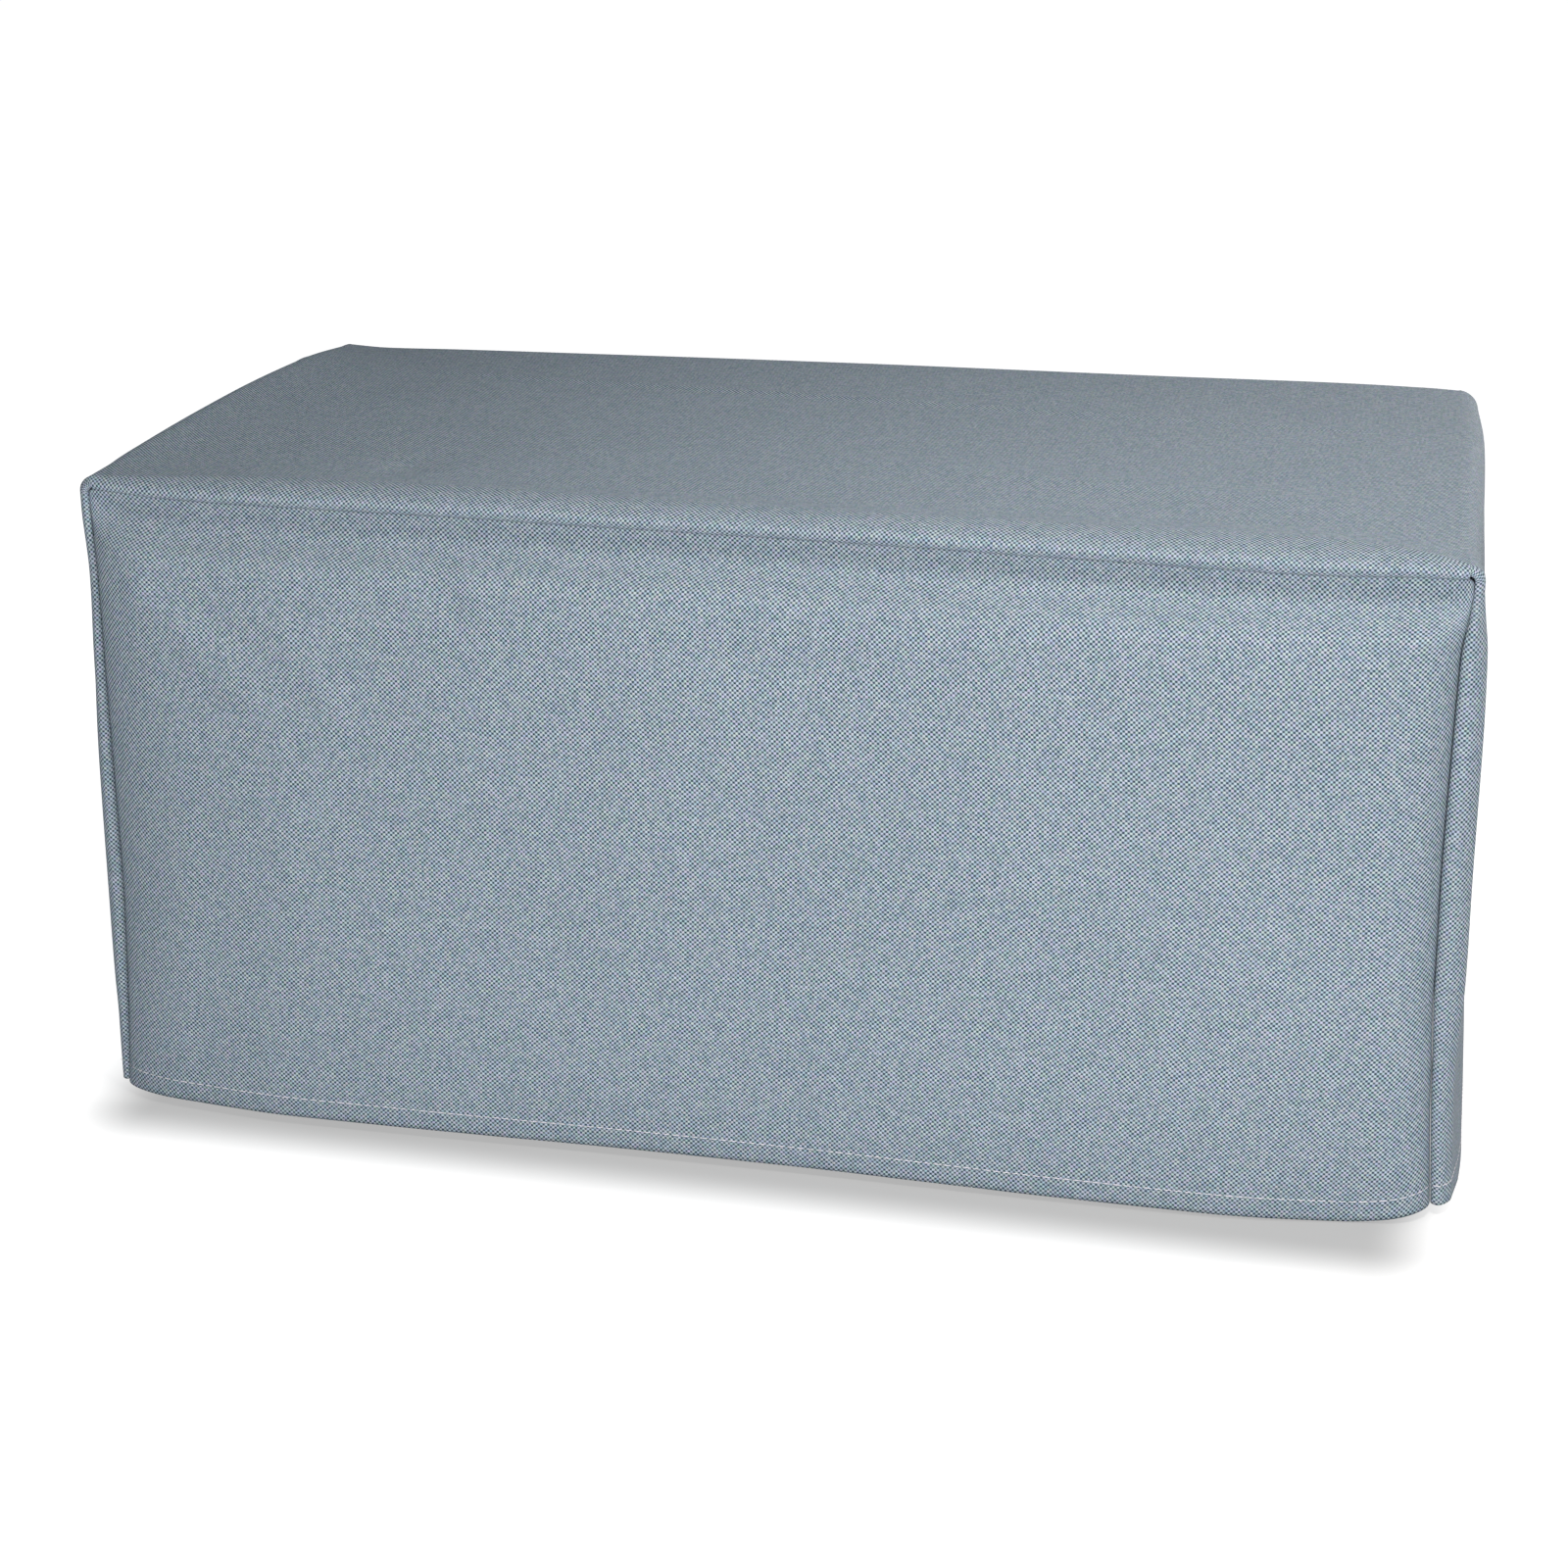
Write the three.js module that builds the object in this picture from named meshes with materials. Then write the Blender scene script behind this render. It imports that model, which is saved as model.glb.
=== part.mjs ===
// Fitted dust cover for a desktop printer, in the shape in which it stands over the printer. It is
// sewn from three pieces of cloth: a front panel, a back panel, and one strip that wraps up the left
// side, over the top and down the right side. Millimetres, +Z up, the front faces -Y. The origin is
// on the underside of the top, at its middle.
import * as THREE from 'three';

// Cloth and sewing.
const CLOTH = 1.0; // thickness of one layer
const SEAM_GAP = 0.35; // clear space between two sewn pieces
const ALLOWANCE = 7.0; // width of cloth turned inward at a seam
const HEM = 7.0; // height of the folded hem
const HEM_STEP = 0.6; // height over which the hem's second layer begins
const HEM_Z = -217.0; // plane of the hem's corners
const SEAM_DEPTH = 123.0; // the front and back seams lie this far from the middle
const SHOULDER = 8.0; // corner radius of the strip between side and top, away from the seams
const SHOULDER_RUN = 22.0; // distance from a seam over which that radius is reached
const ROLL_REACH = 2.2; // how far the strip rolls past a seam
const ROLL_UNDER = 0.36; // part of a seam's inset that the roll's underside takes up
const ROLL_POWER = 1.35; // 1 for an elliptical roll, more for a flatter one
const SIDE_ROLL = 6.0; // how far a roll runs back into the side
const COLOUR = '#8d98a3';

// Left side by height above the hem: outer face at the front edge, in the dip behind it, on the
// shoulder of that dip, half-way back, further back and at the rear edge, and how far the seams lie
// inside it.
const LEFT_SIDE = [
  { up: -3, front: -230.8, dip: -233.2, past: -234.6, middle: -235.4, far: -234.8, rear: -233.2, inset: 2.4, rearInset: 6.0 },
  { up: 17, front: -231.6, dip: -232.8, past: -233.8, middle: -234.6, far: -234.2, rear: -233.0, inset: 4.7, rearInset: 6.5 },
  { up: 47, front: -232.1, dip: -232.0, past: -233.0, middle: -233.6, far: -233.4, rear: -232.8, inset: 6.5, rearInset: 7.0 },
  { up: 77, front: -231.9, dip: -231.8, past: -232.6, middle: -233.0, far: -232.9, rear: -232.6, inset: 7.2, rearInset: 7.4 },
  { up: 117, front: -231.4, dip: -231.4, past: -232.2, middle: -232.6, far: -232.5, rear: -232.2, inset: 6.6, rearInset: 7.0 },
  { up: 157, front: -229.8, dip: -230.2, past: -231.4, middle: -232.2, far: -231.9, rear: -231.4, inset: 5.0, rearInset: 6.0 },
  { up: 187, front: -228.1, dip: -229.0, past: -230.6, middle: -231.6, far: -231.3, rear: -230.6, inset: 3.4, rearInset: 4.6 },
  { up: 207, front: -229.2, dip: -230.3, past: -231.0, middle: -231.6, far: -231.2, rear: -230.0, inset: 3.6, rearInset: 3.8 },
];

// Right side, with the same columns.
const RIGHT_SIDE = [
  { up: -3, front: 233.6, dip: 236.0, past: 237.0, middle: 237.6, far: 236.4, rear: 234.0, inset: 6.6, rearInset: 5.4 },
  { up: 17, front: 232.6, dip: 234.0, past: 235.6, middle: 236.6, far: 235.6, rear: 233.4, inset: 7.0, rearInset: 6.0 },
  { up: 47, front: 231.4, dip: 231.6, past: 233.6, middle: 234.8, far: 234.2, rear: 232.4, inset: 7.5, rearInset: 6.6 },
  { up: 77, front: 232.2, dip: 231.2, past: 233.0, middle: 233.6, far: 233.4, rear: 231.8, inset: 9.7, rearInset: 7.0 },
  { up: 117, front: 231.6, dip: 231.4, past: 232.4, middle: 233.0, far: 232.8, rear: 231.2, inset: 9.8, rearInset: 7.2 },
  { up: 157, front: 231.3, dip: 231.2, past: 231.6, middle: 232.0, far: 232.0, rear: 230.6, inset: 9.3, rearInset: 7.0 },
  { up: 187, front: 230.4, dip: 230.0, past: 230.0, middle: 230.6, far: 231.2, rear: 229.8, inset: 8.0, rearInset: 5.6 },
  { up: 199, front: 228.9, dip: 228.2, past: 228.4, middle: 229.4, far: 230.4, rear: 228.8, inset: 5.0, rearInset: 4.4 },
  { up: 207, front: 227.9, dip: 227.2, past: 227.4, middle: 228.6, far: 229.8, rear: 228.2, inset: 3.2, rearInset: 3.6 },
];

// Depths at which the columns of the two side tables hold.
const SIDE_DEPTHS = { front: -119, dip: -104, past: -87, middle: -32, far: 60, rear: 119 };

// Top by distance from the middle: outer height above the hem at the front edge, a little behind it,
// half-way back, further back and at the rear edge, and how far the seams lie below it.
const TOP = [
  { x: -231, front: 220.4, near: 222.2, middle: 223.4, far: 221.6, rear: 218.0, inset: 3.6, rearInset: 3.8 },
  { x: -205, front: 220.4, near: 220.0, middle: 220.2, far: 219.0, rear: 217.2, inset: 5.7, rearInset: 5.6 },
  { x: -175, front: 221.3, near: 219.6, middle: 218.6, far: 218.2, rear: 217.7, inset: 7.6, rearInset: 6.6 },
  { x: -113, front: 221.6, near: 219.4, middle: 218.0, far: 218.2, rear: 218.3, inset: 8.2, rearInset: 7.2 },
  { x: -50, front: 221.0, near: 218.9, middle: 218.0, far: 218.5, rear: 218.8, inset: 8.2, rearInset: 7.4 },
  { x: 17, front: 220.4, near: 218.3, middle: 218.0, far: 218.6, rear: 219.1, inset: 8.2, rearInset: 7.2 },
  { x: 100, front: 219.8, near: 217.6, middle: 217.8, far: 218.6, rear: 219.1, inset: 8.8, rearInset: 7.4 },
  { x: 170, front: 219.4, near: 217.4, middle: 217.8, far: 218.7, rear: 219.4, inset: 9.5, rearInset: 7.0 },
  { x: 205, front: 218.0, near: 217.0, middle: 218.2, far: 218.6, rear: 219.0, inset: 7.0, rearInset: 5.4 },
  { x: 229, front: 214.5, near: 215.8, middle: 218.4, far: 218.2, rear: 217.4, inset: 3.2, rearInset: 3.6 },
];
const TOP_HALF = 229.0; // the seams' upper corners lie this far from the middle
const SEAM_UP = 213.0; // and the top seams about this high above the hem

// Depths at which the height columns of the top table hold.
const TOP_DEPTHS = { front: -119, near: -92, middle: 8, far: 80, rear: 119 };

// Front panel by height above the hem: height of the rising edge beside a side seam, how wide and how
// soft that edge is at the left and at the right, and how far the cloth bows forward beyond it. An
// edge is the quarter of an ellipse where its softness is 0.5.
const FRONT_FACE = [
  { up: -3, edge: 11.0, leftWidth: 26, leftSoft: 0.5, rightWidth: 15, rightSoft: 0.55, bow: 5.6 },
  { up: 17, edge: 11.0, leftWidth: 27, leftSoft: 0.55, rightWidth: 16, rightSoft: 0.6, bow: 5.4 },
  { up: 47, edge: 11.5, leftWidth: 30, leftSoft: 0.65, rightWidth: 17, rightSoft: 0.65, bow: 5.0 },
  { up: 77, edge: 11.5, leftWidth: 32, leftSoft: 0.7, rightWidth: 17, rightSoft: 0.7, bow: 4.6 },
  { up: 117, edge: 11.5, leftWidth: 32, leftSoft: 0.7, rightWidth: 17, rightSoft: 0.7, bow: 4.2 },
  { up: 157, edge: 11.0, leftWidth: 28, leftSoft: 0.7, rightWidth: 17, rightSoft: 0.7, bow: 3.4 },
  { up: 187, edge: 10.0, leftWidth: 22, leftSoft: 0.7, rightWidth: 16, rightSoft: 0.7, bow: 2.0 },
  { up: 214, edge: 9.0, leftWidth: 16, leftSoft: 0.7, rightWidth: 13, rightSoft: 0.7, bow: 0.4 },
];

// Back panel, with the same columns.
const BACK_FACE = [
  { up: -3, edge: 10.0, leftWidth: 18, leftSoft: 0.5, rightWidth: 22, rightSoft: 0.5, bow: 5.0 },
  { up: 47, edge: 10.5, leftWidth: 18, leftSoft: 0.6, rightWidth: 24, rightSoft: 0.6, bow: 4.6 },
  { up: 117, edge: 10.5, leftWidth: 18, leftSoft: 0.65, rightWidth: 24, rightSoft: 0.65, bow: 4.0 },
  { up: 187, edge: 9.5, leftWidth: 19, leftSoft: 0.65, rightWidth: 22, rightSoft: 0.65, bow: 2.0 },
  { up: 214, edge: 8.0, leftWidth: 20, leftSoft: 0.65, rightWidth: 20, rightSoft: 0.65, bow: 0.4 },
];

// Lower edge of each panel by distance from the middle: height above the plane of the corners, and
// how far the cloth swings out beyond its bow.
const FRONT_HEM = [
  { x: -232, up: 0.1, swing: 0.0 },
  { x: -175, up: 0.1, swing: 0.4 },
  { x: -113, up: 0.0, swing: 0.6 },
  { x: -40, up: -0.1, swing: 0.0 },
  { x: 20, up: -0.3, swing: 0.6 },
  { x: 110, up: -1.2, swing: 2.6 },
  { x: 165, up: -2.0, swing: 2.0 },
  { x: 200, up: -2.5, swing: 1.0 },
  { x: 229, up: 0.6, swing: 0.0 },
];
const BACK_HEM = [
  { x: -232, up: 0.2, swing: 0.0 },
  { x: -120, up: -1.8, swing: 1.8 },
  { x: 0, up: -1.2, swing: 0.2 },
  { x: 110, up: -2.2, swing: 1.4 },
  { x: 229, up: 0.2, swing: 0.0 },
];
const SWING_HEIGHT = 90.0; // the swing dies out this far above the hem
const HEM_DIP = 1.2; // the strip's lower edge dips this far between the panels

// Runs over which a panel builds up away from its seams.
const TOP_EDGE_WIDTH = 19.0; // the panel rises over this height under the top seam
const TOP_EDGE_SOFT = 2.4; // more than 1 for a rise that begins slowly
const SINK = 0.9; // the panel sinks by this much just under the top seam
const SINK_RUN = 18.0; // height over which it comes out again
const SINK_SCALE = 6.75; // brings the greatest value of t (1 - t) (1 - t) to 1
const BOW_RUN_SIDE = 75.0;
const BOW_RUN_TOP = 34.0;
const SWING_RUN = 30.0;
const FOLD_RUN = 9.0;

// Soft folds: a straight ridge (height above zero) or trough (below zero) from one point to another.
// On the panels a is the distance from the middle and b the height above the hem.
const FRONT_FOLDS = [
  { a0: -215, b0: 197, a1: -105, b1: 194, width: 8, height: 0.6 },
  { a0: -90, b0: 190, a1: 205, b1: 185, width: 10, height: 0.7 },
  { a0: -185, b0: 184, a1: -85, b1: 183, width: 8, height: -0.7 },
  { a0: -30, b0: 176, a1: 60, b1: 172, width: 9, height: -0.6 },
  { a0: -112, b0: 203, a1: -92, b1: 180, width: 6, height: -1.2 },
  { a0: -206, b0: 182, a1: -160, b1: 146, width: 6, height: 0.9 },
  { a0: -196, b0: 188, a1: -150, b1: 158, width: 6, height: -0.7 },
  { a0: -156, b0: 170, a1: -134, b1: 147, width: 6, height: 0.8 },
  { a0: 196, b0: 150, a1: 202, b1: 40, width: 12, height: -0.8 },
];
const BACK_FOLDS = [
  { a0: -200, b0: 186, a1: -140, b1: 140, width: 9, height: 0.9 },
  { a0: -40, b0: 192, a1: 160, b1: 190, width: 11, height: 0.9 },
  { a0: 176, b0: 190, a1: 150, b1: 158, width: 8, height: -0.9 },
  { a0: 20, b0: 120, a1: 60, b1: 10, width: 18, height: 0.8 },
];

// On the top a is the distance from the middle to the right and b the distance to the back.
const TOP_FOLDS = [
  { a0: -226, b0: 77, a1: 190, b1: 43, width: 5, height: 0.8 },
  { a0: -132, b0: -96, a1: -124, b1: -66, width: 9, height: -1.3 },
  { a0: 10, b0: -36, a1: 195, b1: -66, width: 14, height: 0.7 },
];

// Ridge along the top that the lines of the mesh follow: its depth at the two ends, and how far
// apart the lines on and beside it are.
const RIDGE = { left: 77, right: 41 };
const RIDGE_STEP = 8.0;

// Lines of the mesh. Columns across a panel and the top, rows up a panel and a side.
const COLUMNS = [-203, -188, -172, -156, -142, -130, -118, -106, -95, -80, -58, -30, 0, 34, 68, 102, 136, 166, 190, 206];
const ROWS = [20, 38, 56, 76, 98, 120, 140, 156, 169, 180];
const EDGE_STEPS = [0.25, 0.42, 0.58, 0.76, 1.0]; // parts of a rising edge beyond the corner's own lines
const ROLL_ANGLES = [30, 60, 90];
const CORNER_ANGLES = [0, 22.5, 45, 67.5, 90];
const LINES = [-104, -96, -87, -70, -48, -22];

const radians = THREE.MathUtils.degToRad;
const lerp = THREE.MathUtils.lerp;
const clamp = THREE.MathUtils.clamp;
const smoothstep = THREE.MathUtils.smoothstep;

// Value at x of a smooth curve through (xs, ys) that never swings past its points, held level beyond
// its ends.
function curve(xs, ys, x) {
  const last = xs.length - 1;
  const at = clamp(x, xs[0], xs[last]);
  const slopes = xs.slice(1).map((end, k) => (ys[k + 1] - ys[k]) / (end - xs[k]));
  let k = 0;
  while (k < last - 1 && at > xs[k + 1]) k += 1;
  const slopeAt = (i) => {
    if (i === 0) return slopes[0];
    if (i === last) return slopes[last - 1];
    const product = slopes[i - 1] * slopes[i];
    return product > 0 ? (2 * product) / (slopes[i - 1] + slopes[i]) : 0;
  };
  const width = xs[k + 1] - xs[k];
  const t = (at - xs[k]) / width;
  const t2 = t * t;
  const t3 = t2 * t;
  return (2 * t3 - 3 * t2 + 1) * ys[k] + (t3 - 2 * t2 + t) * width * slopeAt(k)
    + (3 * t2 - 2 * t3) * ys[k + 1] + (t3 - t2) * width * slopeAt(k + 1);
}

// Column of a table at a place along it.
function tableAt(table, key, column, place) {
  return curve(table.map((row) => row[key]), table.map((row) => row[column]), place);
}

// Several columns of a table, each holding at its own depth.
function acrossDepth(table, key, depths, place, y) {
  const names = Object.keys(depths);
  return curve(names.map((name) => depths[name]), names.map((name) => tableAt(table, key, name, place)), y);
}

// Height that the soft folds add at a point.
function foldsAt(folds, a, b) {
  return folds.reduce((sum, fold) => {
    const along = new THREE.Vector2(fold.a1 - fold.a0, fold.b1 - fold.b0);
    const from = new THREE.Vector2(a - fold.a0, b - fold.b0);
    const part = from.dot(along) / along.lengthSq();
    const nearest = clamp(part, 0, 1);
    const off = from.distanceTo(along.clone().multiplyScalar(nearest)) / fold.width;
    return sum + fold.height * Math.exp(-off * off) * (0.35 + 0.65 * Math.sin(Math.PI * nearest));
  }, 0);
}

// The two ends, with the length of the roll along the top, the corner radius of the seam, and the
// part of the panel's rising edge at which its first line lies.
const ENDS = {
  front: {
    sign: -1, inset: 'inset', face: FRONT_FACE, hem: FRONT_HEM, folds: FRONT_FOLDS, topRoll: 17.0, corner: 1.8, cornerStep: 0.12,
  },
  back: {
    sign: 1, inset: 'rearInset', face: BACK_FACE, hem: BACK_HEM, folds: BACK_FOLDS, topRoll: 6.0, corner: 4.5, cornerStep: 0.2,
  },
};
const SIDES = { left: { sign: -1, table: LEFT_SIDE }, right: { sign: 1, table: RIGHT_SIDE } };
const CORNER_UP = LEFT_SIDE[LEFT_SIDE.length - 1].up;

const sideX = (side, up, y) => acrossDepth(SIDES[side].table, 'up', SIDE_DEPTHS, up, y);
const topUp = (x, y) => acrossDepth(TOP, 'x', TOP_DEPTHS, x, y) + foldsAt(TOP_FOLDS, x, y);
const sideInset = (side, up, end) => tableAt(SIDES[side].table, 'up', ENDS[end].inset, up);
const topInset = (x, end) => tableAt(TOP, 'x', ENDS[end].inset, x);

// Depth and inward displacement of the strip on one line of the mesh, where its seam lies inset
// millimetres inside the outer face and its roll runs back at most the given length.
function onLine(line, inset, roll) {
  const under = ROLL_UNDER * inset;
  const over = inset - under;
  const reach = Math.min(ROLL_REACH, under);
  const length = Math.min(roll, (over * over) / 2);
  const angle = radians(line.angle ?? 0);
  const start = SEAM_DEPTH + reach - length;
  switch (line.kind) {
    case 'seam':
      return { depth: SEAM_DEPTH, in: inset };
    case 'under':
      return { depth: SEAM_DEPTH + reach * Math.sin(angle), in: inset - under * (1 - Math.cos(angle)) };
    case 'over':
      return { depth: start + length * Math.cos(angle) ** ROLL_POWER, in: over * (1 - Math.sin(angle) ** ROLL_POWER) };
    default:
      return { depth: lerp(start, -LINES[0], 0.5), in: 0 };
  }
}

// Lines of the strip from the front allowance to the back one.
function stripLines() {
  const roll = (end) => [
    { end, kind: 'allowance' },
    { end, kind: 'seam' },
    ...ROLL_ANGLES.map((angle) => ({ end, kind: 'under', angle })),
    ...ROLL_ANGLES.map((angle) => ({ end, kind: 'over', angle })),
    { end, kind: 'behind' },
  ];
  const open = [
    ...LINES.map((y) => ({ kind: 'open', at: () => y })),
    { kind: 'open', at: (ridge) => lerp(LINES[LINES.length - 1], ridge - RIDGE_STEP, 0.5) },
    { kind: 'open', at: (ridge) => ridge - RIDGE_STEP },
    { kind: 'open', at: (ridge) => ridge },
    { kind: 'open', at: (ridge) => ridge + RIDGE_STEP },
    { kind: 'open', at: (ridge) => lerp(ridge + RIDGE_STEP, -LINES[0], 0.5) },
    { kind: 'open', at: () => -LINES[0] },
  ];
  return [...roll('front'), ...open, ...roll('back').reverse()];
}

// Stations of the strip from the left hem over the top to the right hem.
function stripStations() {
  const wall = (side) => [
    { side, kind: 'hem', above: 0 },
    { side, kind: 'hem', above: HEM },
    { side, kind: 'hem', above: HEM + HEM_STEP },
    ...ROWS.map((up) => ({ side, kind: 'row', up })),
    ...EDGE_STEPS.toReversed().map((part) => ({ side, kind: 'edge', part })),
    ...CORNER_ANGLES.map((angle) => ({ side, kind: 'corner', angle })),
  ];
  const top = [
    ...EDGE_STEPS.map((part) => ({ side: 'left', kind: 'topEdge', part })),
    ...COLUMNS.map((x) => ({ side: 'left', kind: 'column', x })),
    ...EDGE_STEPS.toReversed().map((part) => ({ side: 'right', kind: 'topEdge', part })),
  ];
  return [...wall('left'), ...top, ...wall('right').reverse()];
}

// Place of a named row or column between two ends, given as its place on the plain drawing.
const spread = (value, from, to, drawnFrom, drawnTo) => lerp(from, to, (value - drawnFrom) / (drawnTo - drawnFrom));
const DRAWN = { left: -217, right: 217, low: HEM + HEM_STEP, high: SEAM_UP - TOP_EDGE_WIDTH };

// Corner of one line of the strip: where its two straight runs would meet, and its radius. The line
// lies at depth y at this station.
function cornerOf(side, line, y) {
  const { sign } = SIDES[side];
  const end = line.end ?? (y < 0 ? 'front' : 'back');
  const inset = sideInset(side, CORNER_UP, end);
  const inward = line.end ? onLine(line, inset, SIDE_ROLL).in : 0;
  const grown = smoothstep(SEAM_DEPTH - Math.abs(y), 0, SHOULDER_RUN);
  const outer = lerp(inset + ENDS[end].corner, SHOULDER, grown);
  const x = sideX(side, CORNER_UP, y);
  return { x: x - sign * inward, up: topUp(x - sign * outer, y) - inward, radius: outer - inward };
}

// How far the first station beyond a corner keeps clear of it, so that all lines pass it together.
const spareOf = (corner, end) => corner.radius - ENDS[end].corner;

// Point of the strip's outer face at a station and a line.
function stripPoint(station, line) {
  if (line.kind === 'allowance') {
    return stripPoint(station, { ...line, kind: 'seam' }).setY(ENDS[line.end].sign * (SEAM_DEPTH - ALLOWANCE));
  }
  const { side, kind } = station;
  const { sign } = SIDES[side];
  const onTop = kind === 'column' || kind === 'topEdge';
  const end = line.end ?? 'front';
  const ridge = kind === 'column' ? lerp(RIDGE.left, RIDGE.right, (station.x + TOP_HALF) / (2 * TOP_HALF)) : RIDGE[side];
  const insetAt = () => {
    if (kind === 'column') return topInset(station.x, end);
    if (kind === 'topEdge') return topInset(sign * (TOP_HALF - station.part * edgeWidth(side, CORNER_UP, end)), end);
    if (kind === 'edge') return sideInset(side, SEAM_UP - station.part * TOP_EDGE_WIDTH, end);
    return sideInset(side, station.up ?? station.above ?? CORNER_UP, end);
  };
  const own = line.end ? onLine(line, insetAt(), onTop ? ENDS[end].topRoll : SIDE_ROLL) : { depth: 0, in: 0 };
  const depth = line.end ? ENDS[end].sign * own.depth : line.at(ridge);
  const corner = cornerOf(side, line, depth);
  if (kind === 'corner') {
    const angle = radians(station.angle);
    const x = corner.x - sign * corner.radius * (1 - Math.cos(angle));
    return new THREE.Vector3(x, depth, HEM_Z + corner.up - corner.radius * (1 - Math.sin(angle)));
  }
  if (onTop) {
    const edgeEnd = (name, part) => {
      const at = cornerOf(name, line, depth);
      return at.x - SIDES[name].sign * (spareOf(at, end) + part * edgeWidth(name, CORNER_UP, end));
    };
    const x = kind === 'column'
      ? spread(station.x, edgeEnd('left', 1), edgeEnd('right', 1), DRAWN.left, DRAWN.right)
      : edgeEnd(side, station.part);
    return new THREE.Vector3(x, depth, HEM_Z + topUp(x, depth) - own.in);
  }
  const hemUp = hemHeight(side, line.end ? ENDS[end].sign * SEAM_DEPTH : depth);
  const edgeUp = corner.up - spareOf(corner, end) - TOP_EDGE_WIDTH * (station.part ?? 1);
  const upOf = {
    hem: () => hemUp + station.above,
    edge: () => edgeUp,
    row: () => spread(station.up, hemUp + HEM + HEM_STEP, edgeUp, DRAWN.low, DRAWN.high),
  };
  const up = upOf[kind]();
  return new THREE.Vector3(sideX(side, up, depth) - sign * own.in, depth, HEM_Z + up);
}

// Width of a panel's rising edge beside one side seam.
function edgeWidth(side, up, end) {
  return tableAt(ENDS[end].face, 'up', side === 'left' ? 'leftWidth' : 'rightWidth', up);
}

// Height of the strip's lower edge: it meets the two panels' hems and dips a little between them.
function hemHeight(side, y) {
  const [front, back] = [FRONT_HEM, BACK_HEM].map((hem) => tableAt(hem, 'x', 'up', SIDES[side].sign * TOP_HALF));
  const part = clamp((y + SEAM_DEPTH) / (2 * SEAM_DEPTH), 0, 1);
  return lerp(front, back, part) - HEM_DIP * Math.sin(Math.PI * part);
}

// Thick closed solid from the outer face of a piece of cloth.
function thicken(points, faces, thickness) {
  const normals = points.map(() => new THREE.Vector3());
  const around = points.map(() => []);
  faces.forEach(([a, b, c]) => {
    const normal = new THREE.Triangle(points[a], points[b], points[c]).getNormal(new THREE.Vector3());
    [[a, b, c], [b, c, a], [c, a, b]].forEach(([at, next, last]) => {
      const one = points[next].clone().sub(points[at]);
      const two = points[last].clone().sub(points[at]);
      normals[at].addScaledVector(normal, one.angleTo(two));
      around[at].push(normal);
    });
  });
  const inner = points.map((point, i) => {
    normals[i].normalize();
    const least = Math.min(...around[i].map((normal) => normal.dot(normals[i])));
    return point.clone().addScaledVector(normals[i], -thickness[i] / Math.max(least, 0.85));
  });
  const count = points.length;
  const used = new Set(faces.flatMap(([a, b, c]) => [`${a},${b}`, `${b},${c}`, `${c},${a}`]));
  const rim = faces.flatMap(([a, b, c]) => [[a, b], [b, c], [c, a]].filter(([p, q]) => !used.has(`${q},${p}`)));
  const all = [
    ...faces,
    ...faces.map(([a, b, c]) => [c + count, b + count, a + count]),
    ...rim.flatMap(([p, q]) => [[q, p, p + count], [q, p + count, q + count]]),
  ];
  const geometry = new THREE.BufferGeometry();
  const flat = [...points, ...inner].flatMap((point) => point.toArray());
  geometry.setAttribute('position', new THREE.Float32BufferAttribute(flat, 3));
  geometry.setIndex(all.flat());
  geometry.computeVertexNormals();
  return geometry;
}

// Two triangles for each cell of a grid of point numbers, split along the shorter diagonal.
function cells(grid, points, flipped) {
  const faces = [];
  grid.slice(1).forEach((row, r) => row.slice(1).forEach((d, k) => {
    const [a, b, c] = [grid[r][k], grid[r][k + 1], row[k]];
    const pair = points[a].distanceTo(points[d]) < points[b].distanceTo(points[c])
      ? [[a, b, d], [a, d, c]]
      : [[a, b, c], [b, d, c]];
    pair.forEach((face) => faces.push(flipped ? face.toReversed() : face));
  }));
  return faces;
}

// Strip that runs up the left side, over the top and down the right side.
function wrapPanel() {
  const lines = stripLines();
  const stations = stripStations();
  const points = [];
  const thickness = [];
  const grid = stations.map((station) => lines.map((line) => {
    points.push(stripPoint(station, line));
    const inHem = station.kind === 'hem' && station.above <= HEM;
    const plain = line.kind === 'open' || (line.kind === 'over' && line.angle === 90);
    thickness.push(inHem && plain ? 2 * CLOTH : CLOTH);
    return points.length - 1;
  }));
  return thicken(points, cells(grid, points, true), thickness);
}

// Forward height of a panel beyond its seams.
function faceRise(end, x, up, bounds) {
  const { face, hem, folds } = ENDS[end];
  const at = (column) => tableAt(face, 'up', column, up);
  const swell = (distance, width, soft) => (1 - (1 - clamp(distance / width, 0, 1)) ** 2) ** soft;
  const ease = (distance, run) => Math.sin((Math.PI / 2) * clamp(distance / run, 0, 1)) ** 2;
  const left = x - bounds.left;
  const right = bounds.right - x;
  const below = bounds.top - up;
  const edge = at('edge') * swell(left, at('leftWidth'), at('leftSoft')) * swell(right, at('rightWidth'), at('rightSoft'))
    * ease(below, TOP_EDGE_WIDTH) ** TOP_EDGE_SOFT;
  const sunk = clamp(below / SINK_RUN, 0, 1);
  const sink = SINK * SINK_SCALE * sunk * (1 - sunk) ** 2 * ease(left, FOLD_RUN) * ease(right, FOLD_RUN);
  const bow = at('bow') * ease(left, BOW_RUN_SIDE) * ease(right, BOW_RUN_SIDE) * ease(below, BOW_RUN_TOP);
  const swing = tableAt(hem, 'x', 'swing', x) * (1 - smoothstep(up, 0, SWING_HEIGHT)) * ease(Math.min(left, right), SWING_RUN);
  const inside = ease(left, FOLD_RUN) * ease(right, FOLD_RUN) * ease(below, FOLD_RUN);
  return edge - sink + bow + swing + foldsAt(folds, x, up) * inside;
}

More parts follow.
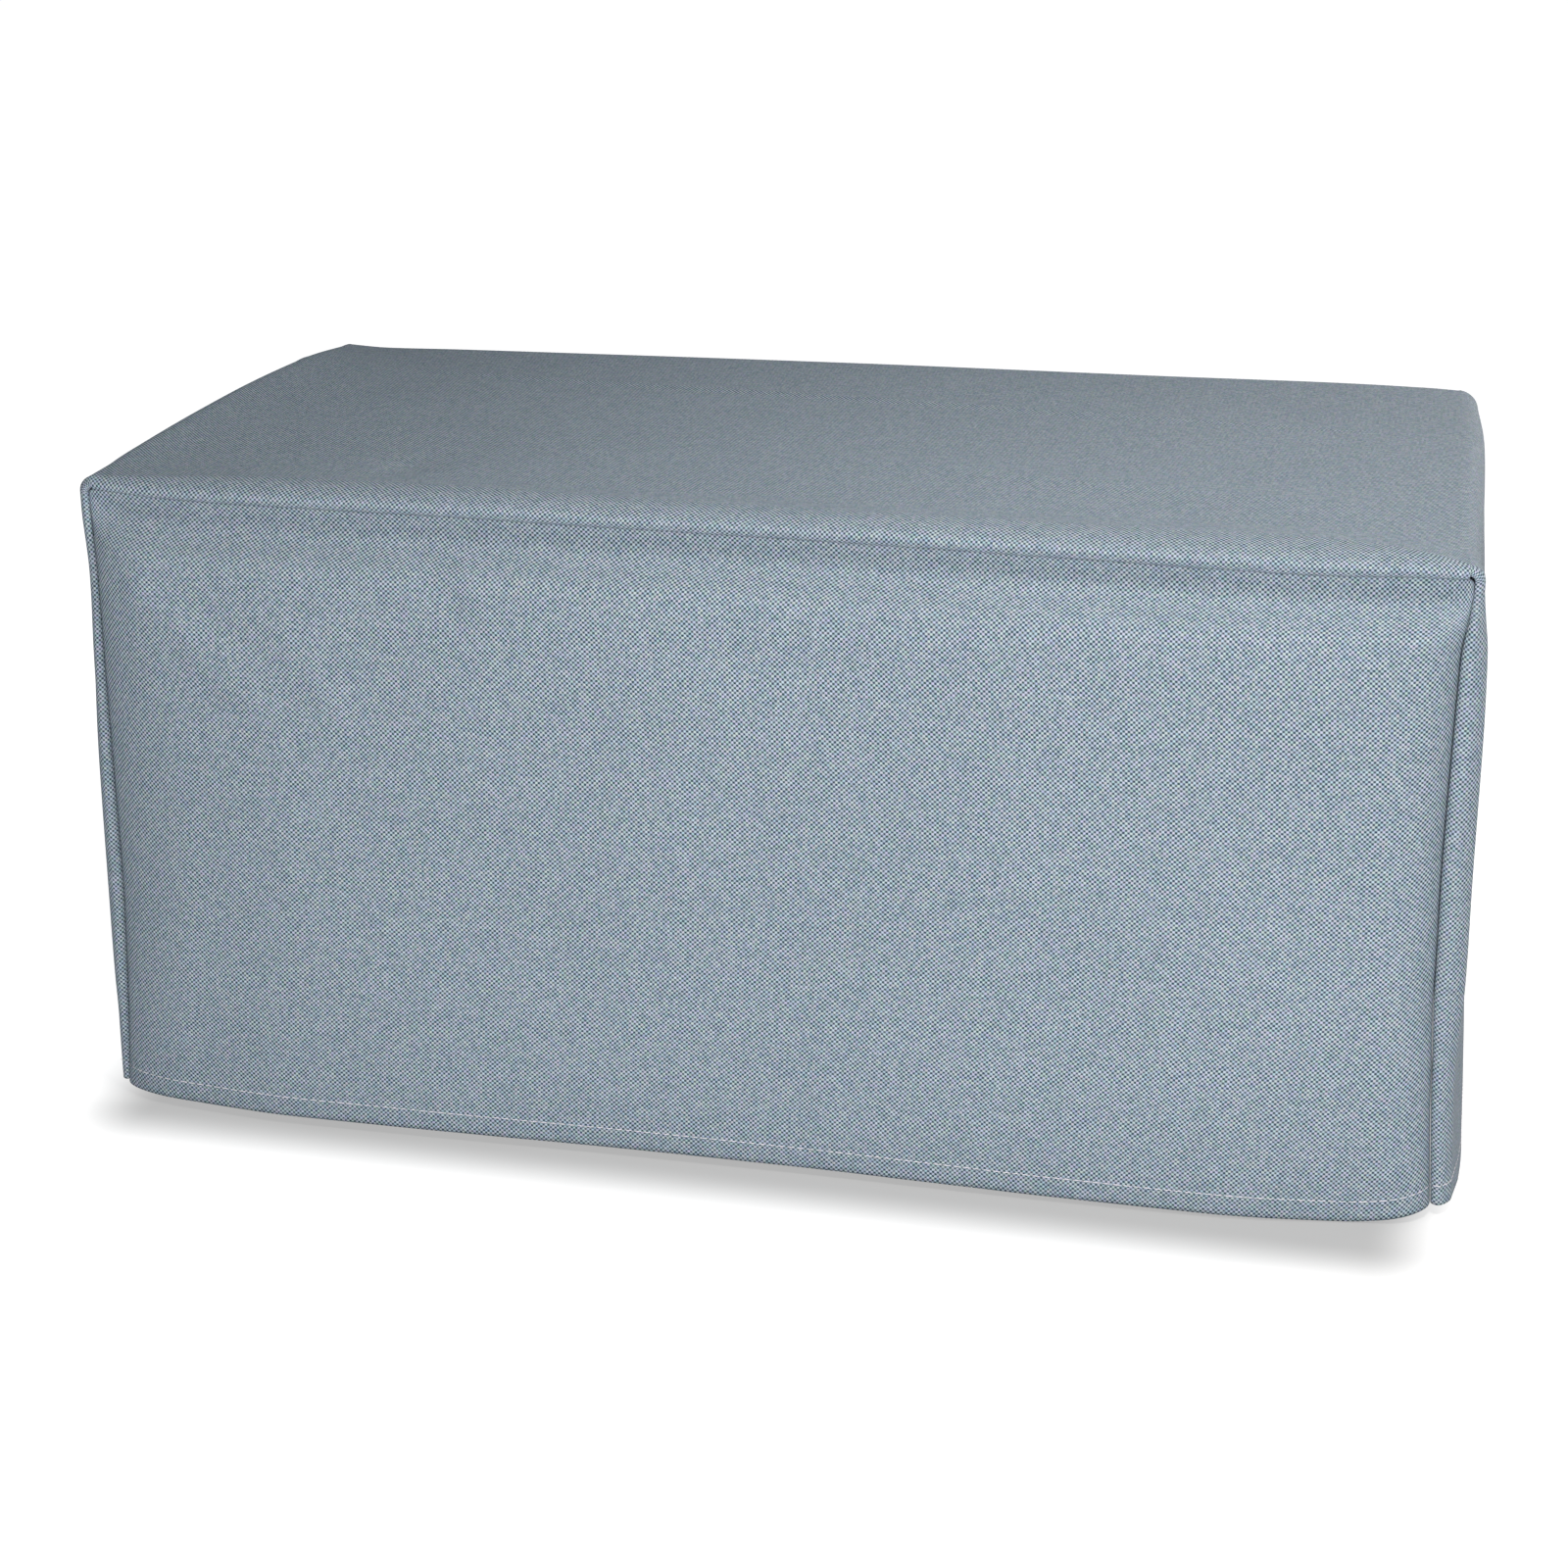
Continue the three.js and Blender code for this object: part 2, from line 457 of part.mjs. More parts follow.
// Front or back panel with its hem and its three turned-in allowances. Its border runs beside the
// strip's seam, so the two share their stations.
function facePanel(end) {
  const { sign, hem, cornerStep } = ENDS[end];
  const stations = stripStations();
  const border = stations.map((station) => {
    const point = stripPoint(station, { end, kind: 'seam' });
    const angle = station.kind === 'corner' ? radians(station.angle) : 0;
    const flat = station.kind === 'column' || station.kind === 'topEdge';
    const inward = flat ? [0, -1] : [-SIDES[station.side].sign * Math.cos(angle), -Math.sin(angle)];
    return point.add(new THREE.Vector3(inward[0], 0, inward[1]).multiplyScalar(SEAM_GAP));
  });
  const used = [...stations.keys()].filter((i) => ![0, 90].includes(stations[i].angle));
  const cornerAt = (side) => used.findIndex((i) => stations[i].side === side && stations[i].angle === CORNER_ANGLES[2]);
  const [leftCorner, rightCorner] = [cornerAt('left'), cornerAt('right')];
  const leftBorder = used.slice(0, leftCorner + 1);
  const topBorder = used.slice(leftCorner, rightCorner + 1);
  const rightBorder = used.slice(rightCorner).toReversed();
  const seamX = (side, up) => sideX(side, up, sign * SEAM_DEPTH) - SIDES[side].sign * (sideInset(side, up, end) + SEAM_GAP);
  const points = [];
  const thickness = [];
  const add = (point, thick) => {
    points.push(point);
    thickness.push(thick);
    return points.length - 1;
  };
  // Point inside the border, on the row and the column of two border points.
  const inner = (row, column, guess) => {
    const [left, right] = ['left', 'right'].map((side) => ({ x: seamX(side, guess), width: edgeWidth(side, guess, end) }));
    const xOf = {
      column: () => spread(column.x, left.x + left.width, right.x - right.width, DRAWN.left, DRAWN.right),
      left: () => left.x + (column.part ?? cornerStep) * left.width,
      right: () => right.x - (column.part ?? cornerStep) * right.width,
    };
    const x = xOf[column.kind === 'column' ? 'column' : column.side]();
    const top = topUp(x, sign * SEAM_DEPTH) - topInset(x, end) - SEAM_GAP;
    const low = tableAt(hem, 'x', 'up', x);
    const upOf = {
      hem: () => low + row.above,
      row: () => spread(row.up, low + HEM + HEM_STEP, top - TOP_EDGE_WIDTH, DRAWN.low, DRAWN.high),
      edge: () => top - row.part * TOP_EDGE_WIDTH,
      corner: () => top - cornerStep * TOP_EDGE_WIDTH,
    };
    const up = upOf[row.kind]();
    const bounds = { left: seamX('left', up), right: seamX('right', up), top };
    return new THREE.Vector3(x, sign * (SEAM_DEPTH + faceRise(end, x, up, bounds)), HEM_Z + up);
  };
  const rows = leftBorder.length;
  const columns = topBorder.length;
  const grid = leftBorder.map((leftIndex, r) => topBorder.map((topIndex, c) => {
    if (c === 0) return add(border[leftIndex], CLOTH);
    if (c === columns - 1) return add(border[rightBorder[r]], CLOTH);
    if (r === rows - 1) return add(border[topIndex], CLOTH);
    const row = stations[leftIndex];
    const inHem = row.kind === 'hem' && row.above <= HEM;
    return add(inner(row, stations[topIndex], border[leftIndex].z - HEM_Z), inHem ? 2 * CLOTH : CLOTH);
  }));
  const last = grid[rows - 1];
  const loop = [...grid.map((row) => row[0]), ...last.slice(1), ...grid.toReversed().slice(1).map((row) => row[columns - 1])];
  const turned = loop.map((i) => add(points[i].clone().setY(sign * (SEAM_DEPTH - ALLOWANCE)), CLOTH));
  const faces = [...cells(grid, points, end === 'back'), ...cells([loop, turned], points, end === 'back')];
  return thicken(points, faces, thickness);
}

// Woven polyester, matt, the same on all three pieces.
function clothMesh(name, geometry) {
  const material = new THREE.MeshStandardMaterial({ color: COLOUR, roughness: 0.85, metalness: 0 });
  const mesh = new THREE.Mesh(geometry, material);
  mesh.name = name;
  return mesh;
}

const cover = new THREE.Group();
cover.name = 'printer_dust_cover';
cover.add(
  clothMesh('wrap_panel', wrapPanel()),
  clothMesh('front_panel', facePanel('front')),
  clothMesh('back_panel', facePanel('back')),
);

export default cover;
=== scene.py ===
"""Looks of a fitted cloth dust cover that stands over a desktop printer.

Three sewn pieces of coated polyester Oxford cloth: a front panel, a back panel, and one strip that
wraps up the left side, over the top and down the right side. Each is a thin sheet with a folded,
stitched hem. Lengths in the tables are millimetres, and heights called up are measured from the
plane of the hem's corners.
"""

import logging
import math
from dataclasses import dataclass, field
from enum import Enum

import bpy
import numpy as np
from mathutils import Matrix, Vector, noise


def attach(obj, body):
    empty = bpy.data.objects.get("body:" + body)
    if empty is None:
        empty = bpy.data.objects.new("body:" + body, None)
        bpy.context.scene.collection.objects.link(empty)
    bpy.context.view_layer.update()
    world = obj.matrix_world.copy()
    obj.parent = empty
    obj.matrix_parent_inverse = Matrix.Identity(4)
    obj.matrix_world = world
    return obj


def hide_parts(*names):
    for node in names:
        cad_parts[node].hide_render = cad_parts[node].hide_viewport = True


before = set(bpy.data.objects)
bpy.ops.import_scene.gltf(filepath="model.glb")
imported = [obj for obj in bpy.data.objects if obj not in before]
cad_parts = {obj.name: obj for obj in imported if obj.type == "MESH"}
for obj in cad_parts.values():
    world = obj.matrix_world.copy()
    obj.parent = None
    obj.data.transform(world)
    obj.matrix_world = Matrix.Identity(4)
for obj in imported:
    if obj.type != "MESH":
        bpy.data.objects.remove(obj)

LOG = logging.getLogger("printer_dust_cover")
MM = 0.001
HEM_PLANE = -217.0  # height of the hem's plane in the frame
CORNER_X = 232.0  # distance of the lower corners from the middle
SINK_SCALE = 27 / 4  # makes the greatest value of p (1 - p)^2 one
EDGE_PARTS = np.array([0, 0.03, 0.06, 0.1, 0.145, 0.2, 0.27, 0.36, 0.46, 0.58, 0.72, 0.86])  # close at a seam
HEM_HEIGHTS = (0, 1.75, 3.5, 5.25, 7.0)  # rows of points on the hem, the last one under the stitches
ABOVE_HEM = 2.0  # from the stitches to the next row of points
UNDER_ANGLES = (15, 30, 45, 60, 75, 90)  # degrees round a roll, from the seam to its foremost line
OVER_ANGLES = (12, 24, 36, 48, 60, 75, 90)  # degrees from there to the open cloth
BEHIND_PARTS = (0.25, 0.5, 0.75)  # parts of the way from a roll to the first open line


class Side(Enum):
    """Left or right side of the cover, with its direction along X."""

    LEFT = -1
    RIGHT = 1


class End(Enum):
    """Front or back of the cover, with its direction along Y."""

    FRONT = -1
    BACK = 1


def smooth(places: np.ndarray, values: np.ndarray, at: np.ndarray) -> np.ndarray:
    """Values of a curve that passes through points and never swings past them.

    Args:
        places: Increasing places of the points, shape (K,).
        values: Values there, shape (K,), or (K, N) with one set for each place asked for.
        at: Places asked for, shape (N,). Beyond the ends the curve is level.

    Returns:
        The N values.
    """
    places = np.asarray(places, float)
    values = np.asarray(values, float)
    at = np.clip(np.asarray(at, float), places[0], places[-1])
    if values.ndim == 1:
        values = np.broadcast_to(values[:, None], (len(values), at.size))
    rise = np.diff(values, axis=0) / np.diff(places)[:, None]
    product = rise[:-1] * rise[1:]
    total = rise[:-1] + rise[1:]
    inner = np.where(product > 0, 2 * product / np.where(product > 0, total, 1), 0)
    slope = np.vstack([rise[:1], inner, rise[-1:]])
    k = np.clip(np.searchsorted(places, at, side="right") - 1, 0, len(places) - 2)
    n = np.arange(at.size)
    width = places[k + 1] - places[k]
    t = (at - places[k]) / width
    start = (2 * t**3 - 3 * t**2 + 1) * values[k, n] + (t**3 - 2 * t**2 + t) * width * slope[k, n]
    return start + (3 * t**2 - 2 * t**3) * values[k + 1, n] + (t**3 - t**2) * width * slope[k + 1, n]


def ease(distance: np.ndarray, run: float) -> np.ndarray:
    """Soft growth from 0 at no distance to 1 at the end of a run.

    Args:
        distance: Distances from the start.
        run: Length over which the value grows.

    Returns:
        Values from 0 to 1.
    """
    return np.sin(np.pi / 2 * np.clip(distance / run, 0, 1)) ** 2


def swell(distance: np.ndarray, width: np.ndarray, soft: np.ndarray) -> np.ndarray:
    """Height of cloth that rises from a seam and ends level.

    Args:
        distance: Distances from the seam.
        width: Distance over which it rises.
        soft: 0.5 for the quarter of an ellipse, and more for a start that leans back.

    Returns:
        Heights from 0 to 1.
    """
    return (1 - (1 - np.clip(distance / width, 0, 1)) ** 2) ** soft


@dataclass(frozen=True)
class Table:
    """Short table with named columns, read along its first column."""

    columns: tuple[str, ...]
    rows: np.ndarray

    @classmethod
    def of(cls, columns: str, *rows: tuple[float, ...]) -> "Table":
        """Make a table.

        Args:
            columns: Names of the columns, separated by spaces.
            *rows: One tuple for each row.

        Returns:
            The table.
        """
        return cls(tuple(columns.split()), np.array(rows, float))

    def column(self, name: str) -> np.ndarray:
        """Return one whole column.

        Args:
            name: Name of the column.

        Returns:
            Its values, one for each row.
        """
        return self.rows[:, self.columns.index(name)]

    def at(self, name: str, place: np.ndarray) -> np.ndarray:
        """Read one column at places along the table.

        Args:
            name: Name of the column.
            place: Places along the first column.

        Returns:
            One value for each place.
        """
        return smooth(self.rows[:, 0], self.column(name), np.atleast_1d(place))

    def across(self, depths: dict[str, float], place: np.ndarray, y: np.ndarray) -> np.ndarray:
        """Read several columns at a place, and between them by depth.

        Args:
            depths: Depth at which each named column holds.
            place: Places along the first column.
            y: Depth of each place.

        Returns:
            One value for each place.
        """
        place = np.atleast_1d(place)
        y = np.broadcast_to(np.asarray(y, float), place.shape)
        values = np.array([self.at(name, place) for name in depths])
        return smooth(np.array(list(depths.values())), values, y)


@dataclass(frozen=True)
class Fold:
    """Soft straight ridge, or a trough where its height is below zero."""

    start: tuple[float, float]
    end: tuple[float, float]
    width: float
    height: float
    ends: float = 0.35

    def lift(self, a: np.ndarray, b: np.ndarray) -> np.ndarray:
        """Height of the fold at points.

        Args:
            a: First coordinate of the points.
            b: Second coordinate of the points.

        Returns:
            Heights, strongest half-way along the fold.
        """
        along = np.subtract(self.end, self.start)
        off_a = a - self.start[0]
        off_b = b - self.start[1]
        part = np.clip((off_a * along[0] + off_b * along[1]) / (along @ along), 0, 1)
        away = np.hypot(off_a - part * along[0], off_b - part * along[1]) / self.width
        strength = self.ends + (1 - self.ends) * np.sin(np.pi * part)
        return self.height * np.exp(-(away**2)) * strength


@dataclass(frozen=True)
class Sewing:
    """Sizes that the cloth and its seams share."""

    layer: float = 0.55
    seam_gap: float = 0.15
    allowance: float = 7.0
    hem: float = 7.0
    hem_fold: float = 1.2
    seam_depth: float = 123.0
    shoulder: float = 8.0
    shoulder_run: float = 22.0
    roll_reach: float = 2.2
    roll_under: float = 0.36
    roll_power: float = 1.35
    side_roll: float = 6.0
    behind_roll: float = 105.0


@dataclass(frozen=True)
class EndShape:
    """Shape of the front or the back panel beyond its seams."""

    face: Table
    hem: Table
    folds: tuple[Fold, ...]
    inset: str
    top_roll: float
    corner: float


LEFT_SIDE = Table.of(
    "up front dip past middle far rear inset rear_inset",
    (-3, -230.8, -233.2, -234.6, -235.4, -234.8, -233.2, 2.4, 6.0),
    (17, -231.6, -232.8, -233.8, -234.6, -234.2, -233.0, 4.7, 6.5),
    (47, -232.1, -232.0, -233.0, -233.6, -233.4, -232.8, 6.5, 7.0),
    (77, -231.9, -231.8, -232.6, -233.0, -232.9, -232.6, 7.2, 7.4),
    (117, -231.4, -231.4, -232.2, -232.6, -232.5, -232.2, 6.6, 7.0),
    (157, -229.8, -230.2, -231.4, -232.2, -231.9, -231.4, 5.0, 6.0),
    (187, -228.1, -229.0, -230.6, -231.6, -231.3, -230.6, 3.4, 4.6),
    (207, -229.2, -230.3, -231.0, -231.6, -231.2, -230.0, 3.6, 3.8),
)
RIGHT_SIDE = Table.of(
    "up front dip past middle far rear inset rear_inset",
    (-3, 233.6, 236.0, 237.0, 237.6, 236.4, 234.0, 6.6, 5.4),
    (17, 232.6, 234.0, 235.6, 236.6, 235.6, 233.4, 7.0, 6.0),
    (47, 231.4, 231.6, 233.6, 234.8, 234.2, 232.4, 7.5, 6.6),
    (77, 232.2, 231.2, 233.0, 233.6, 233.4, 231.8, 9.7, 7.0),
    (117, 231.6, 231.4, 232.4, 233.0, 232.8, 231.2, 9.8, 7.2),
    (157, 231.3, 231.2, 231.6, 232.0, 232.0, 230.6, 9.3, 7.0),
    (187, 230.4, 230.0, 230.0, 230.6, 231.2, 229.8, 8.0, 5.6),
    (199, 228.9, 228.2, 228.4, 229.4, 230.4, 228.8, 5.0, 4.4),
    (207, 227.9, 227.2, 227.4, 228.6, 229.8, 228.2, 3.2, 3.6),
)
SIDE_DEPTHS = {"front": -119, "dip": -104, "past": -87, "middle": -32, "far": 60, "rear": 119}
TOP = Table.of(
    "x front near middle far rear inset rear_inset",
    (-231, 220.4, 222.2, 223.4, 221.6, 218.0, 3.6, 3.8),
    (-205, 220.4, 220.0, 220.2, 219.0, 217.2, 5.7, 5.6),
    (-175, 221.3, 219.6, 218.6, 218.2, 217.7, 7.6, 6.6),
    (-113, 221.6, 219.4, 218.0, 218.2, 218.3, 8.2, 7.2),
    (-50, 221.0, 218.9, 218.0, 218.5, 218.8, 8.2, 7.4),
    (17, 220.4, 218.3, 218.0, 218.6, 219.1, 8.2, 7.2),
    (100, 219.8, 217.6, 217.8, 218.6, 219.1, 8.8, 7.4),
    (170, 219.4, 217.4, 217.8, 218.7, 219.4, 9.5, 7.0),
    (205, 218.0, 217.0, 218.2, 218.6, 219.0, 7.0, 5.4),
    (229, 214.5, 215.8, 218.4, 218.2, 217.4, 3.2, 3.6),
)
TOP_DEPTHS = {"front": -119, "near": -92, "middle": 8, "far": 80, "rear": 119}
TOP_FOLDS = (
    Fold((-226, 77), (190, 43), 4, 0.8),
    Fold((-132, -96), (-124, -66), 9, -1.3),
    Fold((10, -36), (195, -66), 14, 0.7),
)
FRONT = EndShape(
    face=Table.of(
        "up edge left_width left_soft right_width right_soft bow",
        (-3, 11.0, 26, 0.50, 15, 0.55, 5.6),
        (17, 11.0, 27, 0.55, 16, 0.60, 5.4),
        (47, 11.5, 30, 0.65, 17, 0.65, 5.0),
        (77, 11.5, 32, 0.70, 17, 0.70, 4.6),
        (117, 11.5, 32, 0.70, 17, 0.70, 4.2),
        (157, 11.0, 28, 0.70, 17, 0.70, 3.4),
        (187, 10.0, 22, 0.70, 16, 0.70, 2.0),
        (214, 9.0, 16, 0.70, 13, 0.70, 0.4),
    ),
    hem=Table.of(
        "x up swing",
        (-232, 0.1, 0.0),
        (-175, 0.1, 0.4),
        (-113, 0.0, 0.6),
        (-40, -0.1, 0.0),
        (20, -0.3, 0.6),
        (110, -1.2, 2.6),
        (165, -2.0, 2.0),
        (200, -2.5, 1.0),
        (229, 0.6, 0.0),
    ),
    folds=(
        Fold((-215, 197), (-105, 194), 8, 0.6),
        Fold((-90, 190), (205, 185), 10, 0.7),
        Fold((-185, 184), (-85, 183), 8, -0.7),
        Fold((-30, 176), (60, 172), 9, -0.6),
        Fold((-112, 203), (-92, 180), 5, -1.2),
        Fold((-206, 182), (-160, 146), 6, 0.9),
        Fold((-196, 188), (-150, 158), 5, -0.7),
        Fold((-156, 170), (-134, 147), 6, 0.8),
        Fold((196, 150), (202, 40), 12, -0.8),
    ),
    inset="inset",
    top_roll=17.0,
    corner=1.8,
)
BACK = EndShape(
    face=Table.of(
        "up edge left_width left_soft right_width right_soft bow",
        (-3, 10.0, 18, 0.50, 22, 0.50, 5.0),
        (47, 10.5, 18, 0.60, 24, 0.60, 4.6),
        (117, 10.5, 18, 0.65, 24, 0.65, 4.0),
        (187, 9.5, 19, 0.65, 22, 0.65, 2.0),
        (214, 8.0, 20, 0.65, 20, 0.65, 0.4),
    ),
    hem=Table.of(
        "x up swing",
        (-232, 0.2, 0.0),
        (-120, -1.8, 1.8),
        (0, -1.2, 0.2),
        (110, -2.2, 1.4),
        (229, 0.2, 0.0),
    ),
    folds=(
        Fold((-200, 186), (-140, 140), 9, 0.9),
        Fold((-40, 192), (160, 190), 11, 0.9),
        Fold((176, 190), (150, 158), 8, -0.9),
        Fold((20, 120), (60, 10), 18, 0.8),
    ),
    inset="rear_inset",
    top_roll=6.0,
    corner=4.5,
)


@dataclass(frozen=True)
class CoverForm:
    """Outer face of the cover as functions of place, shared by the three pieces."""

    sewing: Sewing = Sewing()
    corner_up: float = 207.0
    swing_height: float = 90.0
    top_width: float = 19.0
    top_soft: float = 2.4
    sink: float = 0.9
    sink_run: float = 18.0
    bow_run_side: float = 75.0
    bow_run_top: float = 34.0
    swing_run: float = 30.0
    fold_run: float = 9.0
    side_hem_dip: float = 1.2
    slack: float = 0.16
    wave_length: tuple[float, float] = (34.0, 27.0)
    wave_step: float = 3.7
    wave_fading: float = 0.8
    wave_finer: float = 2.1
    wave_octaves: int = 3
    wave_run: float = 30.0

    def end(self, end: End) -> EndShape:
        """Return the shape of one panel.

        Args:
            end: Front or back.

        Returns:
            Its tables and folds.
        """
        return FRONT if end is End.FRONT else BACK

    def side(self, side: Side) -> Table:
        """Return the table of one side.

        Args:
            side: Left or right.

        Returns:
            Its table.
        """
        return LEFT_SIDE if side is Side.LEFT else RIGHT_SIDE

    def side_x(self, side: Side, up: np.ndarray, y: np.ndarray) -> np.ndarray:
        """Outer face of a side.

        Args:
            side: Left or right.
            up: Heights.
            y: Depths.

        Returns:
            Distances from the middle.
        """
        return self.side(side).across(SIDE_DEPTHS, up, y)

    def top_up(self, x: np.ndarray, y: np.ndarray) -> np.ndarray:
        """Outer height of the top.

        Args:
            x: Distances from the middle.
            y: Depths.

        Returns:
            Heights.
        """
        x = np.atleast_1d(np.asarray(x, float))
        y = np.broadcast_to(np.asarray(y, float), x.shape)
        return TOP.across(TOP_DEPTHS, x, y) + sum(fold.lift(x, y) for fold in TOP_FOLDS)

    def side_inset(self, side: Side, up: np.ndarray, end: End) -> np.ndarray:
        """Distance of a side seam inside the outer face.

        Args:
            side: Left or right.
            up: Heights.
            end: Front or back.

        Returns:
            Distances.
        """
        return self.side(side).at(self.end(end).inset, up)

    def top_inset(self, x: np.ndarray, end: End) -> np.ndarray:
        """Distance of a top seam below the outer face.

        Args:
            x: Distances from the middle.
            end: Front or back.

        Returns:
            Distances.
        """
        return TOP.at(self.end(end).inset, x)

    def side_hem(self, side: Side, y: np.ndarray) -> np.ndarray:
        """Height of the strip's lower edge on one side.

        Args:
            side: Left or right.
            y: Depths.

        Returns:
            Heights.
        """
        depth = self.sewing.seam_depth
        front, back = (float(self.end(end).hem.at("up", side.value * CORNER_X)[0]) for end in End)
        part = (np.asarray(y, float) + depth) / (2 * depth)
        return front + (back - front) * part - self.side_hem_dip * np.sin(np.pi * np.clip(part, 0, 1))

    def seam_x(self, side: Side, up: np.ndarray, end: End) -> np.ndarray:
        """Place of a panel's side edge.

        Args:
            side: Left or right.
            up: Heights.
            end: Front or back.

        Returns:
            Distances from the middle.
        """
        outer = self.side_x(side, up, end.value * self.sewing.seam_depth)
        return outer - side.value * (self.side_inset(side, up, end) + self.sewing.seam_gap)

    def seam_up(self, x: np.ndarray, end: End) -> np.ndarray:
        """Height of a panel's top edge.

        Args:
            x: Distances from the middle.
            end: Front or back.

        Returns:
            Heights.
        """
        outer = self.top_up(x, end.value * self.sewing.seam_depth)
        return outer - self.top_inset(x, end) - self.sewing.seam_gap

    def rise(self, end: End, x: np.ndarray, up: np.ndarray) -> np.ndarray:
        """How far a panel stands out beyond its seams.

        Args:
            end: Front or back.
            x: Distances from the middle.
            up: Heights.

        Returns:
            Distances.
        """
        shape = self.end(end)
        left = x - self.seam_x(Side.LEFT, up, end)
        right = self.seam_x(Side.RIGHT, up, end) - x
        below = self.seam_up(x, end) - up
        edge = shape.face.at("edge", up)
        edge = edge * swell(left, shape.face.at("left_width", up), shape.face.at("left_soft", up))
        edge = edge * swell(right, shape.face.at("right_width", up), shape.face.at("right_soft", up))
        edge = edge * ease(below, self.top_width) ** self.top_soft
        part = np.clip(below / self.sink_run, 0, 1)
        away = ease(left, self.fold_run) * ease(right, self.fold_run)
        sink = self.sink * SINK_SCALE * part * (1 - part) ** 2 * away
        bow = shape.face.at("bow", up) * ease(left, self.bow_run_side) * ease(right, self.bow_run_side)
        bow = bow * ease(below, self.bow_run_top)
        low = np.clip(up / self.swing_height, 0, 1)
        swing = shape.hem.at("swing", x) * (1 - low * low * (3 - 2 * low))
        swing = swing * ease(np.minimum(left, right), self.swing_run)
        inside = away * ease(below, self.fold_run)
        folds = sum(fold.lift(x, up) for fold in shape.folds)
        return edge - sink + bow + swing + (folds + self.waves(x, up, end.value)) * inside

    def waves(self, a: np.ndarray, b: np.ndarray, layer: float) -> np.ndarray:
        """Faint unevenness of cloth that has been folded in its packet.

        Args:
            a: First coordinate of the points.
            b: Second coordinate of the points.
            layer: Number that keeps the pieces different.

        Returns:
            Heights.
        """
        first, second = (np.ravel(part) / length for part, length in zip((a, b), self.wave_length))
        points = np.column_stack([first, second, np.full(np.size(a), self.wave_step * layer)])
        settings = (self.wave_fading, self.wave_finer, self.wave_octaves)
        values = [noise.fractal(Vector(point), *settings) for point in points]
        return self.slack * np.reshape(values, np.shape(a))


@dataclass(frozen=True)
class Line:
    """Line along the whole strip, from the left hem over the top to the right hem.

    Attributes:
        kind: "allowance", "seam", "under", "over" or "behind" at a seam, or "open" between them.
        end: Front or back seam that the line belongs to.
        value: Distance for an allowance, angle of the roll in degrees, part of the way from the roll
            to the first open line, or depth for an open line.
    """

    kind: str
    end: End
    value: float = 0.0

    def place(self, inset: np.ndarray, roll: float, sewing: Sewing) -> tuple[np.ndarray, np.ndarray]:
        """Depth of the line and how far it lies inside the outer face.

        Args:
            inset: Distance of the seam inside the outer face.
            roll: Greatest length of the roll.
            sewing: Sizes of the seam.

        Returns:
            Depths and inward distances.
        """
        inset = np.atleast_1d(np.asarray(inset, float))
        if self.kind == "open":
            return np.full(inset.shape, self.value), np.zeros(inset.shape)
        under = inset * sewing.roll_under
        over = inset - under
        reach = np.minimum(sewing.roll_reach, under)
        length = np.minimum(roll, over * over / 2)
        angle = math.radians(self.value)
        if self.kind == "seam":
            depth, inward = np.full(inset.shape, sewing.seam_depth), inset
        elif self.kind == "under":
            depth = sewing.seam_depth + reach * math.sin(angle)
            inward = inset - under * (1 - math.cos(angle))
        elif self.kind == "over":
            depth = sewing.seam_depth + reach - length * (1 - math.cos(angle) ** sewing.roll_power)
            inward = over * (1 - math.sin(angle) ** sewing.roll_power)
        else:
            start = sewing.seam_depth + reach - length
            depth = start + (sewing.behind_roll - start) * self.value
            inward = np.zeros(inset.shape)
        return self.end.value * depth, inward


def grid_normals(points: np.ndarray) -> np.ndarray:
    """Unit normals of a grid of cloth.

    Args:
        points: Grid of points, rows by columns.

    Returns:
        One normal for each point.
    """
    normal = np.cross(np.gradient(points, axis=1), np.gradient(points, axis=0))
    return normal / np.maximum(np.linalg.norm(normal, axis=-1, keepdims=True), 1e-9)


def flat_places(points: np.ndarray) -> np.ndarray:
    """Measure a grid of cloth along its rows and columns, as if it were laid flat.

    Args:
        points: Grid of points, rows by columns.

    Returns:
        Two flat coordinates for each point, in millimetres.
    """
    across = np.cumsum(np.linalg.norm(np.diff(points, axis=1, prepend=points[:, :1]), axis=-1), axis=1)
    across = across - across[:, across.shape[1] // 2][:, None]
    along = np.cumsum(np.linalg.norm(np.diff(points, axis=0, prepend=points[:1]), axis=-1), axis=0)
    return np.stack([across, along], axis=-1)


def grid_faces(index: np.ndarray) -> list[tuple[int, int, int, int]]:
    """Faces of a grid of vertex numbers.

    Args:
        index: Vertex numbers, rows by columns.

    Returns:
        One face with four corners for each cell.
    """
    a, b = index[:-1, :-1].ravel(), index[:-1, 1:].ravel()
    c, d = index[1:, 1:].ravel(), index[1:, :-1].ravel()
    return list(zip(*(part.tolist() for part in (a, b, c, d))))


